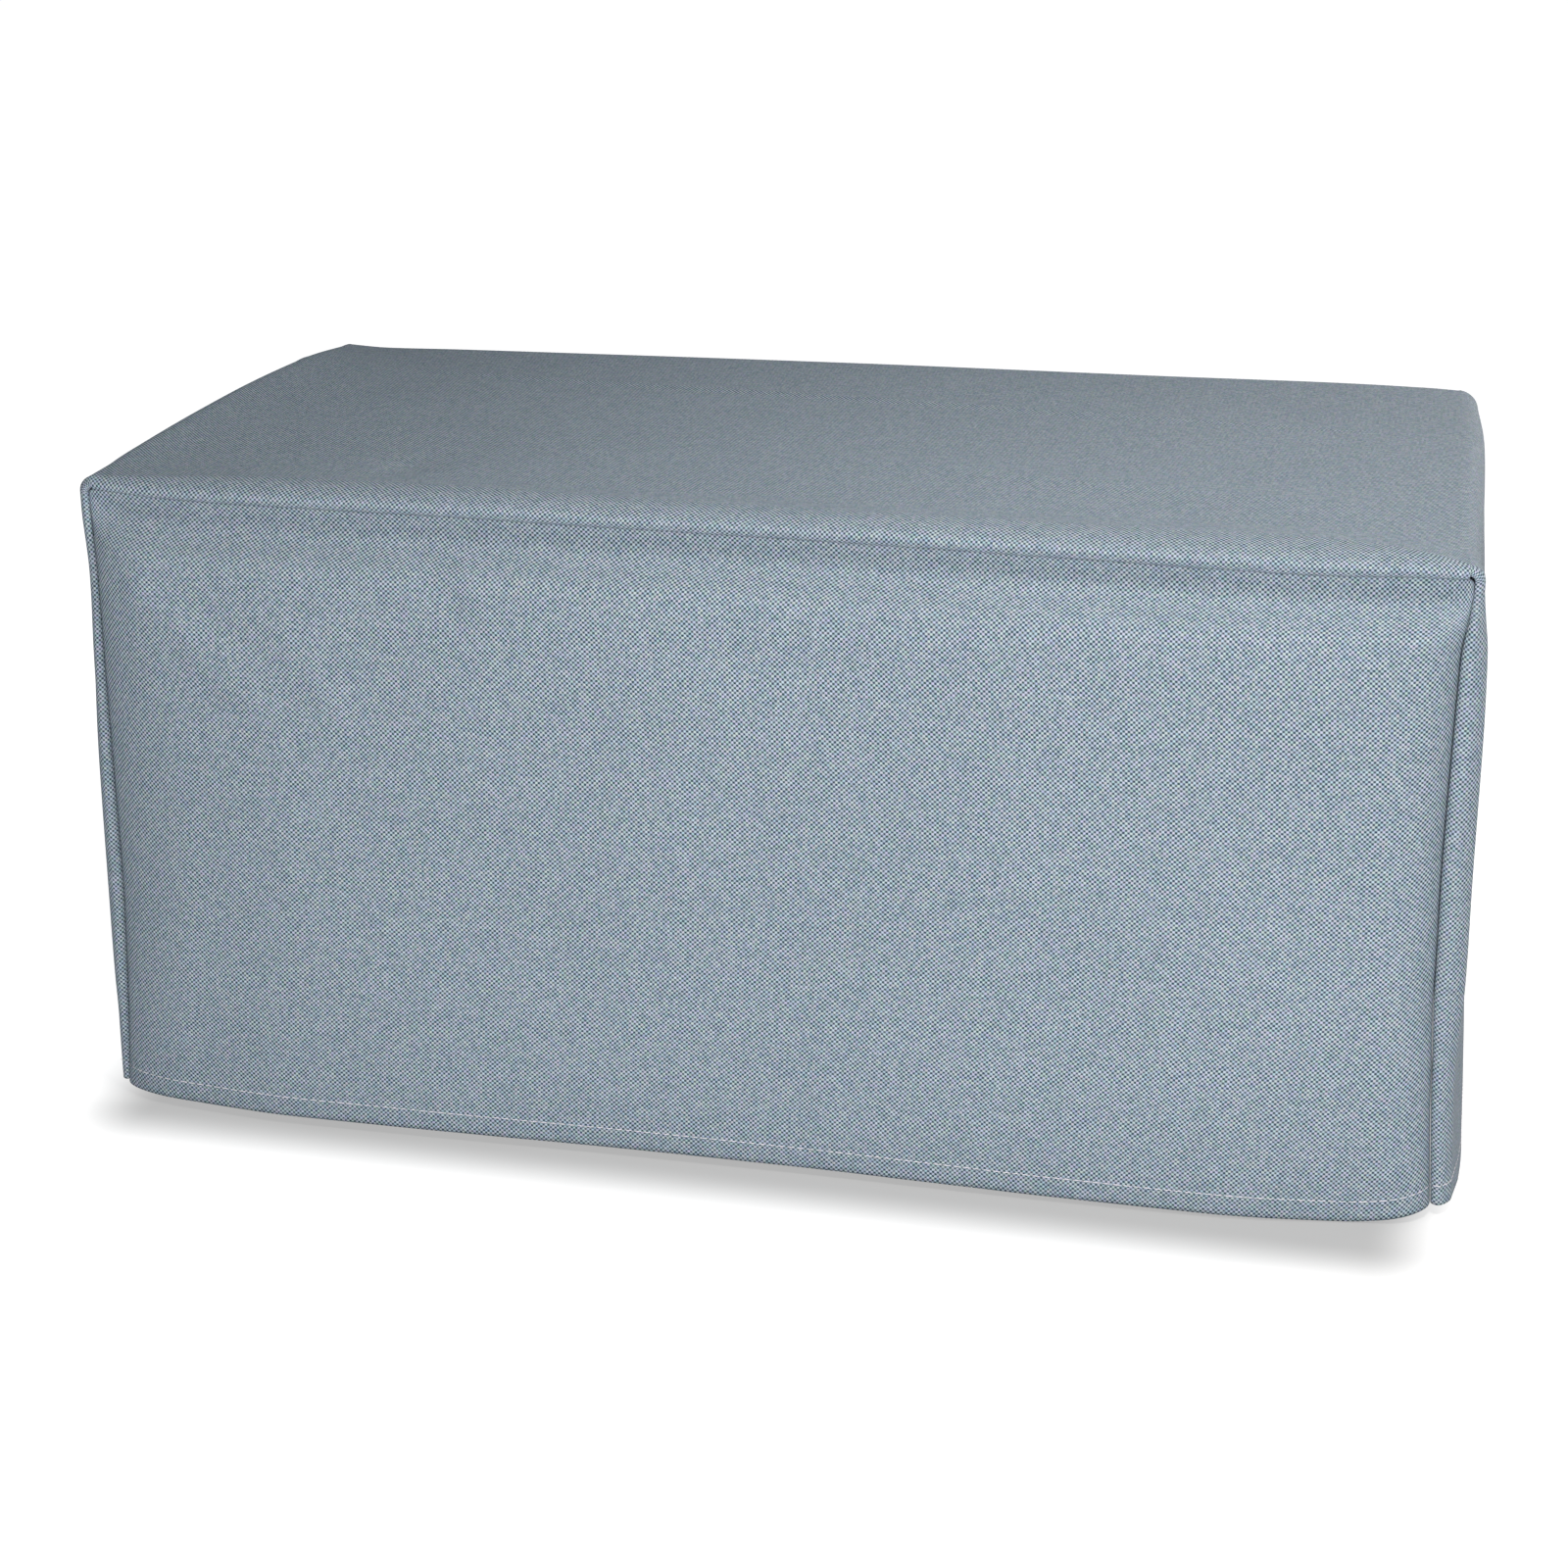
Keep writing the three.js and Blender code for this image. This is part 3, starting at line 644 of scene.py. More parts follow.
def cloth_object(
    name: str, points: np.ndarray, flat: np.ndarray, faces: list, sewing: Sewing
) -> bpy.types.Object:
    """Make a thin sheet from the outer face of a piece of cloth.

    Args:
        name: Name of the piece.
        points: Points in millimetres, heights from the hem's plane.
        flat: Flat coordinates of the points, in millimetres.
        faces: Faces as tuples of point numbers.
        sewing: Gives the thickness of the cloth.

    Returns:
        The new object.
    """
    mesh = bpy.data.meshes.new(name)
    world = (points + np.array([0.0, 0.0, HEM_PLANE])) * MM
    mesh.from_pydata(world.tolist(), [], faces)
    layer = mesh.uv_layers.new(name="cloth")
    corners = np.empty(len(mesh.loops), int)
    mesh.loops.foreach_get("vertex_index", corners)
    layer.data.foreach_set("uv", (flat[corners] * MM).ravel())
    mesh.polygons.foreach_set("use_smooth", [True] * len(mesh.polygons))
    mesh.update()
    piece = bpy.data.objects.new(name, mesh)
    bpy.context.scene.collection.objects.link(piece)
    solid = piece.modifiers.new("Cloth", "SOLIDIFY")
    solid.thickness = sewing.layer * MM
    solid.offset = -1
    solid.use_rim = True
    solid.use_even_offset = False
    return piece


def hem_rows(sewing: Sewing) -> list[tuple[float, float]]:
    """Rows that turn the lower edge inward and up again.

    Args:
        sewing: Height of the hem and the thickness of its fold.

    Returns:
        Pairs of height above the lower edge and inward distance, from the raw edge to the fold.
    """
    radius = sewing.hem_fold / 2
    layer = [(sewing.hem * part, sewing.hem_fold) for part in (1.0, 0.7, 0.4, 0.15)]
    turns = [math.radians(angle) for angle in (0, 45, 90, 135)]
    fold = [(radius * (1 - math.sin(t)), radius * (1 + math.cos(t))) for t in turns]
    return layer + fold


def add_hem(outer: np.ndarray, sewing: Sewing) -> np.ndarray:
    """Turn the lower edge of a grid inward and up, as a sewn hem.

    Args:
        outer: Grid of points whose first row is the lower edge.
        sewing: Sizes of the hem.

    Returns:
        The grid with the hem's rows in front.
    """
    normal = grid_normals(outer)[1]
    normal[:, 2] = 0
    normal = normal / np.maximum(np.linalg.norm(normal, axis=-1, keepdims=True), 1e-9)
    rows = []
    for above, inward in hem_rows(sewing):
        row = outer[0] - normal * inward
        row[:, 2] = outer[0][:, 2] + above
        rows.append(row)
    return np.concatenate([np.array(rows), outer])


@dataclass
class WrapPanel:
    """Strip that runs up the left side, over the top and down the right side."""

    form: CoverForm
    wall_rows: int = 66
    corner_steps: int = 12
    top_columns: int = 140
    open_lines: int = 72
    wall_length: float = 210.0
    top_length: float = 440.0
    ease_rows: int = 4
    name: str = "wrap_cloth"
    stitch_paths: list[np.ndarray] = field(default_factory=list)

    def lines(self) -> list[Line]:
        """Lines of the strip from the back allowance to the front one.

        Returns:
            The lines in order.
        """
        depth = self.form.sewing.behind_roll
        roll = []
        for end in End:
            run = [Line("allowance", end, value) for value in (self.form.sewing.allowance, 3.5)]
            run += [Line("seam", end)]
            run += [Line("under", end, angle) for angle in UNDER_ANGLES]
            run += [Line("over", end, angle) for angle in OVER_ANGLES]
            run += [Line("behind", end, part) for part in BEHIND_PARTS]
            roll.append(run)
        depths = np.linspace(-depth, depth, self.open_lines)
        middle = [Line("open", End.FRONT if y < 0 else End.BACK, float(y)) for y in depths]
        return (roll[0] + middle + roll[1][::-1])[::-1]

    def corner(self, side: Side, line: Line, y: np.ndarray) -> tuple[np.ndarray, np.ndarray, np.ndarray]:
        """Corner of one line: where its two straight runs would meet, and its radius.

        Args:
            side: Left or right.
            line: The line.
            y: Depth of the line at each station.

        Returns:
            Distance from the middle, height and radius.
        """
        sewing = self.form.sewing
        inset = self.form.side_inset(side, self.form.corner_up, line.end)
        inward = line.place(inset, sewing.side_roll, sewing)[1]
        grown = np.clip((sewing.seam_depth - np.abs(y)) / sewing.shoulder_run, 0, 1)
        grown = grown * grown * (3 - 2 * grown)
        outer = inset + self.form.end(line.end).corner
        outer = outer + (sewing.shoulder - outer) * grown
        x = self.form.side_x(side, np.full(y.shape, self.form.corner_up), y)
        up = self.form.top_up(x - side.value * outer, y)
        return x - side.value * inward, up - inward, outer - inward

    def wall(self, side: Side, line: Line, parts: np.ndarray) -> np.ndarray:
        """Points of one line up a side.

        Args:
            side: Left or right.
            line: The line.
            parts: Places from 0 at the hem to 1 at the corner's start.

        Returns:
            Points from the hem upward.
        """
        form = self.form
        up = parts * form.corner_up
        y, inward = line.place(form.side_inset(side, up, line.end), form.sewing.side_roll, form.sewing)
        for _ in range(2):
            _, corner_up, radius = self.corner(side, line, y)
            low = form.side_hem(side, np.clip(y, -form.sewing.seam_depth, form.sewing.seam_depth))
            up = low + parts * (corner_up - radius - low)
            y, inward = line.place(form.side_inset(side, up, line.end), form.sewing.side_roll, form.sewing)
        x = form.side_x(side, up, y) - side.value * inward
        if line.kind == "open":
            away = ease(form.corner_up - up, form.wave_run)
            x = x + side.value * form.waves(y, up, 2.0 + side.value) * away
        return np.column_stack([x, y, up])

    def bend(self, side: Side, line: Line, angles: np.ndarray) -> np.ndarray:
        """Points of one line round a corner.

        Args:
            side: Left or right.
            line: The line.
            angles: Angles from the side, in radians.

        Returns:
            Points from the side to the top.
        """
        inset = self.form.side_inset(side, self.form.corner_up, line.end)
        y, _ = line.place(np.full(angles.shape, inset[0]), self.form.sewing.side_roll, self.form.sewing)
        x, up, radius = self.corner(side, line, y)
        x = x - side.value * radius * (1 - np.cos(angles))
        return np.column_stack([x, y, up - radius * (1 - np.sin(angles))])

    def top(self, line: Line, parts: np.ndarray) -> np.ndarray:
        """Points of one line across the top.

        Args:
            line: The line.
            parts: Places from 0 at the left corner's end to 1 at the right one's.

        Returns:
            Points from left to right.
        """
        form = self.form
        roll = form.end(line.end).top_roll
        x = self.top_length * (parts - 0.5)
        y, inward = line.place(form.top_inset(x, line.end), roll, form.sewing)
        for _ in range(2):
            ends = []
            for side in Side:
                corner_x, _, radius = self.corner(side, line, y)
                ends.append(corner_x - side.value * radius)
            x = ends[0] + parts * (ends[1] - ends[0])
            y, inward = line.place(form.top_inset(x, line.end), roll, form.sewing)
        up = form.top_up(x, y) - inward
        if line.kind == "open":
            away = ease(np.minimum(parts, 1 - parts) * self.top_length, form.wave_run)
            up = up + form.waves(x, y, 9.0) * away
        return np.column_stack([x, y, up])

    def run(self, line: Line, parts: np.ndarray, angles: np.ndarray, across: np.ndarray) -> np.ndarray:
        """Points of one whole line, from the left hem over the top to the right hem.

        Args:
            line: The line.
            parts: Places up a side, from 0 to 1.
            angles: Angles round a corner, in radians.
            across: Places across the top, from 0 to 1.

        Returns:
            The points.
        """
        if line.kind == "allowance":
            seam = self.run(Line("seam", line.end), parts, angles, across)
            seam[:, 1] -= line.end.value * line.value
            return seam
        left = self.wall(Side.LEFT, line, parts)
        right = self.wall(Side.RIGHT, line, parts)[::-1]
        bends = [self.bend(side, line, angles) for side in Side]
        return np.concatenate([left, bends[0], self.top(line, across), bends[1][::-1], right])

    def build(self) -> bpy.types.Object:
        """Build the strip.

        Returns:
            The new object.
        """
        sewing = self.form.sewing
        hem = np.array(HEM_HEIGHTS) / self.wall_length
        first = (sewing.hem + ABOVE_HEM) / self.wall_length
        parts = np.concatenate([hem, np.linspace(first, 1, self.wall_rows)])
        angles = np.radians(np.linspace(0, 90, self.corner_steps + 1))[1:-1]
        across = np.linspace(0, 1, self.top_columns)
        grid = np.stack([self.run(line, parts, angles, across) for line in self.lines()], axis=1)
        row, seam = len(HEM_HEIGHTS) - 1, 2
        self.stitch_paths = [grid[row, seam:-seam], grid[-1 - row, seam:-seam]]
        grid = add_hem(grid, sewing)
        grid = add_hem(grid[::-1, ::-1], sewing)[::-1, ::-1]
        flat = flat_places(grid)
        self.settle(flat[..., 1], len(hem_rows(sewing)) + len(parts), len(angles))
        index = np.arange(grid.shape[0] * grid.shape[1]).reshape(grid.shape[:2])
        faces = grid_faces(index)
        return cloth_object(self.name, grid.reshape(-1, 3), flat.reshape(-1, 2), faces, sewing)

    def settle(self, along: np.ndarray, wall: int, bend: int) -> None:
        """Keep the threads straight up the sides and along the top, and let them slip at the corners.

        Round a corner the lines of a roll are shorter than the open ones, and the cloth is eased in there.

        Args:
            along: Flat coordinate along the strip of each point, changed in place.
            wall: Number of rows up a side.
            bend: Number of rows round a corner.
        """
        rows, columns = along.shape
        row = np.arange(rows)
        slip = [along[anchor, columns // 2] - along[anchor] for anchor in (rows // 2, -1)]
        span = bend + 2 * self.ease_rows
        first = np.clip((row - wall + self.ease_rows) / span, 0, 1)
        second = np.clip((row - rows + wall + bend + self.ease_rows) / span, 0, 1)
        along += first[:, None] * slip[0] + second[:, None] * (slip[1] - slip[0])


@dataclass
class FacePanel:
    """Front or back panel with its hem and the allowances turned in along three sides."""

    form: CoverForm
    end: End
    name: str
    columns: int = 140
    rows: int = 66
    first_left: float = -225.0
    first_right: float = 223.0
    first_edge: float = 10.0
    allowance_rows: tuple[float, ...] = (2.0, 4.5)
    stitch_paths: list[np.ndarray] = field(default_factory=list)

    def build(self) -> bpy.types.Object:
        """Build the panel.

        Returns:
            The new object.
        """
        form, end, sewing = self.form, self.end, self.form.sewing
        shape = form.end(end)
        middle = np.linspace(0, 1, self.columns)
        width = {side: f"{side.name.lower()}_width" for side in Side}
        row_kinds = [("hem", value) for value in HEM_HEIGHTS]
        row_kinds += [("part", value) for value in np.linspace(0, 1, self.rows)]
        row_kinds += [("edge", value) for value in EDGE_PARTS[::-1]]
        left, right = self.first_left, self.first_right
        inner = np.linspace(left + self.first_edge, right - self.first_edge, self.columns)
        x = np.concatenate(
            [left + EDGE_PARTS * self.first_edge, inner, right - EDGE_PARTS[::-1] * self.first_edge]
        )
        up = np.zeros(x.shape)
        grid = []
        for kind, value in row_kinds:
            for _ in range(2):
                top = form.seam_up(x, end)
                low = shape.hem.at("up", x)
                if kind == "hem":
                    up = low + value
                elif kind == "part":
                    start = low + sewing.hem + ABOVE_HEM
                    up = start + value * (top - form.top_width - start)
                else:
                    up = top - value * form.top_width
                middle_up = float(np.mean(up))
                left, right = (float(form.seam_x(side, middle_up, end)[0]) for side in Side)
                left_width, right_width = (float(shape.face.at(width[side], middle_up)[0]) for side in Side)
                inner = left + left_width + middle * (right - right_width - left - left_width)
                x = np.concatenate(
                    [left + EDGE_PARTS * left_width, inner, right - EDGE_PARTS[::-1] * right_width]
                )
            if kind != "edge":
                x[0] = form.seam_x(Side.LEFT, up[:1], end)[0]
                x[-1] = form.seam_x(Side.RIGHT, up[-1:], end)[0]
            y = end.value * (sewing.seam_depth + form.rise(end, x, up))
            y[[0, -1]] = end.value * sewing.seam_depth
            grid.append(np.column_stack([x, y, up]))
        grid = np.array(grid)
        grid[-1, :, 1] = end.value * sewing.seam_depth
        self.round_corners(grid)
        self.stitch_paths = [grid[len(HEM_HEIGHTS) - 1]]
        if end is End.BACK:
            grid = grid[:, ::-1]
        grid = add_hem(grid, sewing)
        rows, columns = grid.shape[:2]
        index = np.arange(rows * columns).reshape(rows, columns)
        faces = grid_faces(index)
        flat = self.straighten(flat_places(grid), grid, len(EDGE_PARTS))
        loop = np.concatenate([index[:, 0], index[-1, 1:-1], index[::-1, -1]])
        ways = (([-1.0, 0], rows), ([0, 1.0], columns - 2), ([1.0, 0], rows))
        outward = np.concatenate([np.tile(way, (count, 1)) for way, count in ways])
        points, places = [grid.reshape(-1, 3)], [flat.reshape(-1, 2)]
        border = points[0][loop]
        border_flat = places[0][loop]
        bands = [loop]
        for inward in (*self.allowance_rows, sewing.allowance):
            ring = border.copy()
            ring[:, 1] -= end.value * inward
            bands.append(np.arange(len(loop)) + sum(len(part) for part in points))
            points.append(ring)
            places.append(border_flat + outward * inward)
        faces += grid_faces(np.array(bands).T[::-1])
        return cloth_object(self.name, np.concatenate(points), np.concatenate(places), faces, sewing)

    def straighten(self, flat: np.ndarray, grid: np.ndarray, edge: int) -> np.ndarray:
        """Keep the threads straight through the upper corners, where the cloth is eased into the seam.

        Args:
            flat: Flat coordinates measured along rows and columns.
            grid: Points of the panel, rows by columns.
            edge: Number of rows and columns in each turned edge.

        Returns:
            The flat coordinates with the threads straight.
        """
        way = math.copysign(1.0, grid[0, -1, 0] - grid[0, 0, 0])
        across = (grid[..., 0] - grid[:, [grid.shape[1] // 2], 0]) * way
        plan = np.stack([across, grid[..., 2] - grid[:1, :, 2]], axis=-1)
        extra = flat - plan
        extra[-edge:, :, 0] = extra[-edge - 1, :, 0]
        extra[:, :edge, 1] = extra[:, [edge], 1]
        extra[:, -edge:, 1] = extra[:, [-edge - 1], 1]
        return plan + extra

    def round_corners(self, grid: np.ndarray) -> None:
        """Round the two upper corners of the panel's border as its seam is rounded.

        Args:
            grid: Grid of points, changed in place.
        """
        radius = self.form.end(self.end).corner - self.form.sewing.seam_gap
        top = grid[-1, :, 2]
        for column in (0, -1):
            side = 1 if column == 0 else -1
            x0, up0 = grid[-1, column, 0], top[column]
            a = 1 - (grid[..., 0] - x0) * side / radius
            b = 1 - (up0 - grid[..., 2]) / radius
            near = (a > 0) & (b > 0)
            a, b = np.clip(a[near], 0, 1), np.clip(b[near], 0, 1)
            grid[near, 0] = x0 + side * radius * (1 - a * np.sqrt(1 - b * b / 2))
            grid[near, 2] = up0 - radius * (1 - b * np.sqrt(1 - a * a / 2))


class Nodes:
    """Small helper that adds nodes to a tree."""

    def __init__(self, tree: bpy.types.NodeTree) -> None:
        """Keep the tree.

        Args:
            tree: Tree that the nodes go into.
        """
        self.tree = tree

    def add(self, kind: str, inputs: dict | None = None, **settings: object) -> bpy.types.Node:
        """Add a node, set it up and link it.

        Args:
            kind: Type of the node.
            inputs: Value, output socket or node for each input, by name or number. A node gives its
                first output.
            **settings: Properties of the node.

        Returns:
            The new node.
        """
        node = self.tree.nodes.new(kind)
        for name, value in settings.items():
            setattr(node, name, value)
        for key, value in (inputs or {}).items():
            if isinstance(value, bpy.types.Node):
                value = value.outputs[0]
            if isinstance(value, bpy.types.NodeSocket):
                self.tree.links.new(value, node.inputs[key])
            else:
                node.inputs[key].default_value = value
        return node


def linear(code: str) -> tuple[float, float, float, float]:
    """Turn an sRGB hex code into a linear colour.

    Args:
        code: Six hex digits.

    Returns:
        Red, green, blue and 1 for alpha.
    """
    values = [int(code[k : k + 2], 16) / 255 for k in (0, 2, 4)]
    turned = [v / 12.92 if v <= 0.04045 else ((v + 0.055) / 1.055) ** 2.4 for v in values]
    return (*turned, 1.0)


def new_tree(material: bpy.types.Material) -> Nodes:
    """Empty a material's tree.

    Args:
        material: The material.

    Returns:
        Helper that adds nodes to it.
    """
    material.use_nodes = True
    material.node_tree.nodes.clear()
    return Nodes(material.node_tree)


@dataclass(frozen=True)
class OxfordCloth:
    """Plain-woven polyester Oxford, 31 by 32 threads to the inch, with a thin coating behind.

    The threads are 0.82 mm apart across and 0.79 mm apart along the cloth. Weaving gives it a dull,
    speckled face, and its coating keeps it stiff. Its colour holds a painted highlight on the raised
    threads and painted shade in the gaps between them.
    """

    name: str = "polyester_oxford"
    across: float = 0.82
    along: float = 0.79
    turn: float = 1.0
    # Pale colour is a painted highlight on the raised threads, dark colour painted shade in the gaps.
    light: str = "9AA6B0"
    dark: str = "2A3741"
    contrast: float = 0.75
    middle: float = 0.5
    unevenness: float = 0.36
    slub_scale: float = 60.0
    slub: float = 0.6
    cloud_scale: float = 14.0
    cloud: float = 0.06
    grain_scale: float = 700.0
    grain: float = 0.16
    base: float = 0.89
    tint: float = 0.18
    roughness: float = 0.85
    bump: float = 0.10
    bump_strength: float = 0.55

    def build(self) -> bpy.types.Material:
        """Build the material.

        Returns:
            The material.
        """
        material = bpy.data.materials.new(self.name)
        nodes = new_tree(material)
        place = nodes.add("ShaderNodeUVMap", uv_map="cloth")
        turned = nodes.add("ShaderNodeMapping", {0: place, 2: (0, 0, math.radians(self.turn))})
        threads = self.threads(nodes, turned)
        waves = []
        for thread in threads:
            angle = nodes.add("ShaderNodeMath", {0: thread, 1: math.pi}, operation="MULTIPLY")
            waves.append(nodes.add("ShaderNodeMath", {0: angle}, operation="SINE"))
        weave = nodes.add("ShaderNodeMath", {0: waves[0], 1: waves[1]}, operation="MULTIPLY")
        colour = self.colour(nodes, turned, threads, weave)
        bump = nodes.add(
            "ShaderNodeBump", {"Strength": self.bump_strength, "Distance": self.bump * MM, "Height": weave}
        )
        inputs = {"Base Color": colour, "Roughness": self.roughness, "Normal": bump}
        inputs |= {"IOR": 1.5, "Specular IOR Level": 0.1}
        shader = nodes.add("ShaderNodeBsdfPrincipled", inputs)
        nodes.add("ShaderNodeOutputMaterial", {0: shader})
        return material

    def threads(self, nodes: Nodes, place: bpy.types.Node) -> list[bpy.types.Node]:
        """Count the threads both ways, a little bent as thread of uneven thickness is.

        Args:
            nodes: Helper for the material's tree.
            place: Node with the place on the flat cloth.

        Returns:
            One node with the count for each way.
        """
        inputs = {"Vector": place, "Scale": self.slub_scale, "Detail": 2.0}
        slub = nodes.add("ShaderNodeTexNoise", inputs, noise_dimensions="2D")
        centred = nodes.add("ShaderNodeMath", {0: slub, 1: 0.5}, operation="SUBTRACT")
        wobble = nodes.add("ShaderNodeMath", {0: centred, 1: self.slub}, operation="MULTIPLY")
        split = nodes.add("ShaderNodeSeparateXYZ", {0: place}).outputs
        threads = []
        for axis, pitch in enumerate((self.across, self.along)):
            count = nodes.add("ShaderNodeMath", {0: split[axis], 1: 1 / (pitch * MM)}, operation="MULTIPLY")
            threads.append(nodes.add("ShaderNodeMath", {0: count, 1: wobble}, operation="ADD"))
        return threads

    def colour(
        self, nodes: Nodes, place: bpy.types.Node, threads: list[bpy.types.Node], weave: bpy.types.Node
    ) -> bpy.types.Node:
        """Colour the threads: painted highlight where they come up, painted shade where they go under.

        Args:
            nodes: Helper for the material's tree.
            place: Node with the place on the flat cloth.
            threads: Nodes that count the threads each way.
            weave: Node with the height of the weave, from -1 to 1.

        Returns:
            Node with the colour.
        """
        whole = [nodes.add("ShaderNodeMath", {0: thread}, operation="FLOOR") for thread in threads]
        cell = nodes.add("ShaderNodeCombineXYZ", dict(enumerate(whole)))
        speck = nodes.add("ShaderNodeTexWhiteNoise", {"Vector": cell}, noise_dimensions="2D")
        centred = nodes.add("ShaderNodeMath", {0: speck, 1: 0.5}, operation="SUBTRACT")
        lift = nodes.add(
            "ShaderNodeMath", {0: centred, 1: self.unevenness, 2: weave}, operation="MULTIPLY_ADD"
        )
        inputs = {0: lift, 1: self.contrast, 2: self.middle}
        tone = nodes.add("ShaderNodeMath", inputs, operation="MULTIPLY_ADD", use_clamp=True)
        shade = self.base
        for share, settings in (
            (self.cloud, {"Scale": self.cloud_scale, "Detail": 3.0}),
            (self.grain, {"Scale": self.grain_scale}),
        ):
            patch = nodes.add("ShaderNodeTexNoise", {"Vector": place, **settings}, noise_dimensions="2D")
            shade = nodes.add("ShaderNodeMath", {0: patch, 1: share, 2: shade}, operation="MULTIPLY_ADD")
        # The weave's height picks between the painted shade of the gaps and the painted highlight of the
        # raised threads.
        pair = {0: tone, 6: linear(self.dark), 7: linear(self.light)}
        mixed = nodes.add("ShaderNodeMix", pair, data_type="RGBA").outputs[2]
        shaded = nodes.add("ShaderNodeVectorMath", {0: mixed, "Scale": shade}, operation="SCALE")
        pair = {0: self.tint, 6: (1.0, 1.0, 1.0, 1.0), 7: speck.outputs[1]}
        tint = nodes.add("ShaderNodeMix", pair, data_type="RGBA").outputs[2]
        return nodes.add("ShaderNodeVectorMath", {0: shaded, 1: tint}, operation="MULTIPLY")


@dataclass(frozen=True)
class SewingThread:
    """Spun polyester sewing thread, a little paler than the cloth, its twist seen as fine shading."""

    name: str = "polyester_thread"
    colour: str = "B9B4BA"
    roughness: float = 0.7
    twist_scale: float = 2500.0
    twist: float = 0.5
    base: float = 0.72

    def build(self) -> bpy.types.Material:
        """Build the material.

        Returns:
            The material.
        """
        material = bpy.data.materials.new(self.name)
        nodes = new_tree(material)
        place = nodes.add("ShaderNodeTexCoord").outputs["Object"]
        inputs = {"Vector": place, "Scale": self.twist_scale, "Detail": 1.0}
        twist = nodes.add("ShaderNodeTexNoise", inputs)
        inputs = {0: twist, 1: self.twist, 2: self.base}
        shade = nodes.add("ShaderNodeMath", inputs, operation="MULTIPLY_ADD")
        inputs = {0: linear(self.colour)[:3], "Scale": shade}
        colour = nodes.add("ShaderNodeVectorMath", inputs, operation="SCALE")
        inputs = {"Base Color": colour, "Roughness": self.roughness, "IOR": 1.5}
        shader = nodes.add("ShaderNodeBsdfPrincipled", inputs)
        nodes.add("ShaderNodeOutputMaterial", {0: shader})
        return material


@dataclass(frozen=True)
class HemStitches:
    """Row of lockstitches that holds a hem, one short thread float after another."""

    pitch: float = 3.3
    length: float = 3.0
    thickness: float = 0.30
    sides: int = 8
    rings: int = 8
    shortest: float = 0.9
    longest: float = 1.08
    seed: int = 7

    def tree(self, material: bpy.types.Material) -> bpy.types.NodeTree:
        """Build the node tree that turns a path into stitches.

        Args:
            material: Thread of the stitches.

        Returns:
            The node tree.
        """
        tree = bpy.data.node_groups.new("hem_stitches", "GeometryNodeTree")
        for name, kind, low in (
            ("Geometry", "NodeSocketGeometry", None),
            ("Pitch", "NodeSocketFloat", 0.001),
            ("Length", "NodeSocketFloat", 0.0005),
            ("Thickness", "NodeSocketFloat", 0.0001),
            ("Seed", "NodeSocketInt", 0),
        ):
            socket = tree.interface.new_socket(name, in_out="INPUT", socket_type=kind)
            if low is not None:
                socket.min_value = low
        tree.interface.new_socket("Geometry", in_out="OUTPUT", socket_type="NodeSocketGeometry")
        nodes = Nodes(tree)
        given = nodes.add("NodeGroupInput").outputs
        path = nodes.add("GeometryNodeMeshToCurve", {0: given["Geometry"]})
        inputs = {"Curve": path, "Length": given["Pitch"]}
        even = nodes.add("GeometryNodeResampleCurve", inputs, mode="LENGTH")
        tangent = nodes.add("GeometryNodeInputTangent")
        turn = nodes.add("FunctionNodeAlignRotationToVector", {"Vector": tangent}, axis="X")
        half = nodes.add("ShaderNodeMath", {0: given["Length"], 1: 0.5}, operation="MULTIPLY")
        wide = nodes.add("ShaderNodeMath", {0: given["Thickness"], 1: 0.5}, operation="MULTIPLY")
        inputs = {"Segments": self.sides, "Rings": self.rings, "Radius": 1.0}
        ball = nodes.add("GeometryNodeMeshUVSphere", inputs)
        size = nodes.add("ShaderNodeCombineXYZ", {0: half, 1: wide, 2: wide})
        float_thread = nodes.add("GeometryNodeTransform", {"Geometry": ball, "Scale": size})
        inputs = {2: self.shortest, 3: self.longest, "Seed": given["Seed"]}
        vary = nodes.add("FunctionNodeRandomValue", inputs, data_type="FLOAT")
        inputs = {"Points": even, "Instance": float_thread, "Rotation": turn, "Scale": vary.outputs[1]}
        row = nodes.add("GeometryNodeInstanceOnPoints", inputs)
        real = nodes.add("GeometryNodeRealizeInstances", {0: row})
        smooth_shade = nodes.add("GeometryNodeSetShadeSmooth", {0: real})
        inputs = {"Geometry": smooth_shade, "Material": material}
        dressed = nodes.add("GeometryNodeSetMaterial", inputs)
        nodes.add("NodeGroupOutput", {0: dressed})
        return tree

    def build(self, name: str, paths: list[np.ndarray], material: bpy.types.Material) -> bpy.types.Object:
        """Sew stitches along paths.

        Args:
            name: Name of the piece.
            paths: Points of each path in millimetres, heights from the hem's plane.
            material: Thread of the stitches.

        Returns:
            The stitches as one plain mesh.
        """
        points, edges = [], []
        for path in paths:
            first = len(points)
            points += ((path + np.array([0.0, 0.0, HEM_PLANE])) * MM).tolist()
            edges += [(first + k, first + k + 1) for k in range(len(path) - 1)]
        route = bpy.data.meshes.new(name + "_route")
        route.from_pydata(points, edges, [])
        holder = bpy.data.objects.new(name, route)
        bpy.context.scene.collection.objects.link(holder)
        tree = self.tree(material)
        modifier = holder.modifiers.new("Stitches", "NODES")
        modifier.node_group = tree
        values = {
            "Pitch": self.pitch * MM,
            "Length": self.length * MM,
            "Thickness": self.thickness * MM,
            "Seed": self.seed,
        }
        for item in tree.interface.items_tree:
            if item.in_out == "INPUT" and item.name in values:
                modifier[item.identifier] = values[item.name]
        bpy.context.view_layer.update()
        drawn = holder.evaluated_get(bpy.context.evaluated_depsgraph_get())
        mesh = bpy.data.meshes.new_from_object(drawn)
        holder.modifiers.clear()
        holder.data = mesh
        return holder


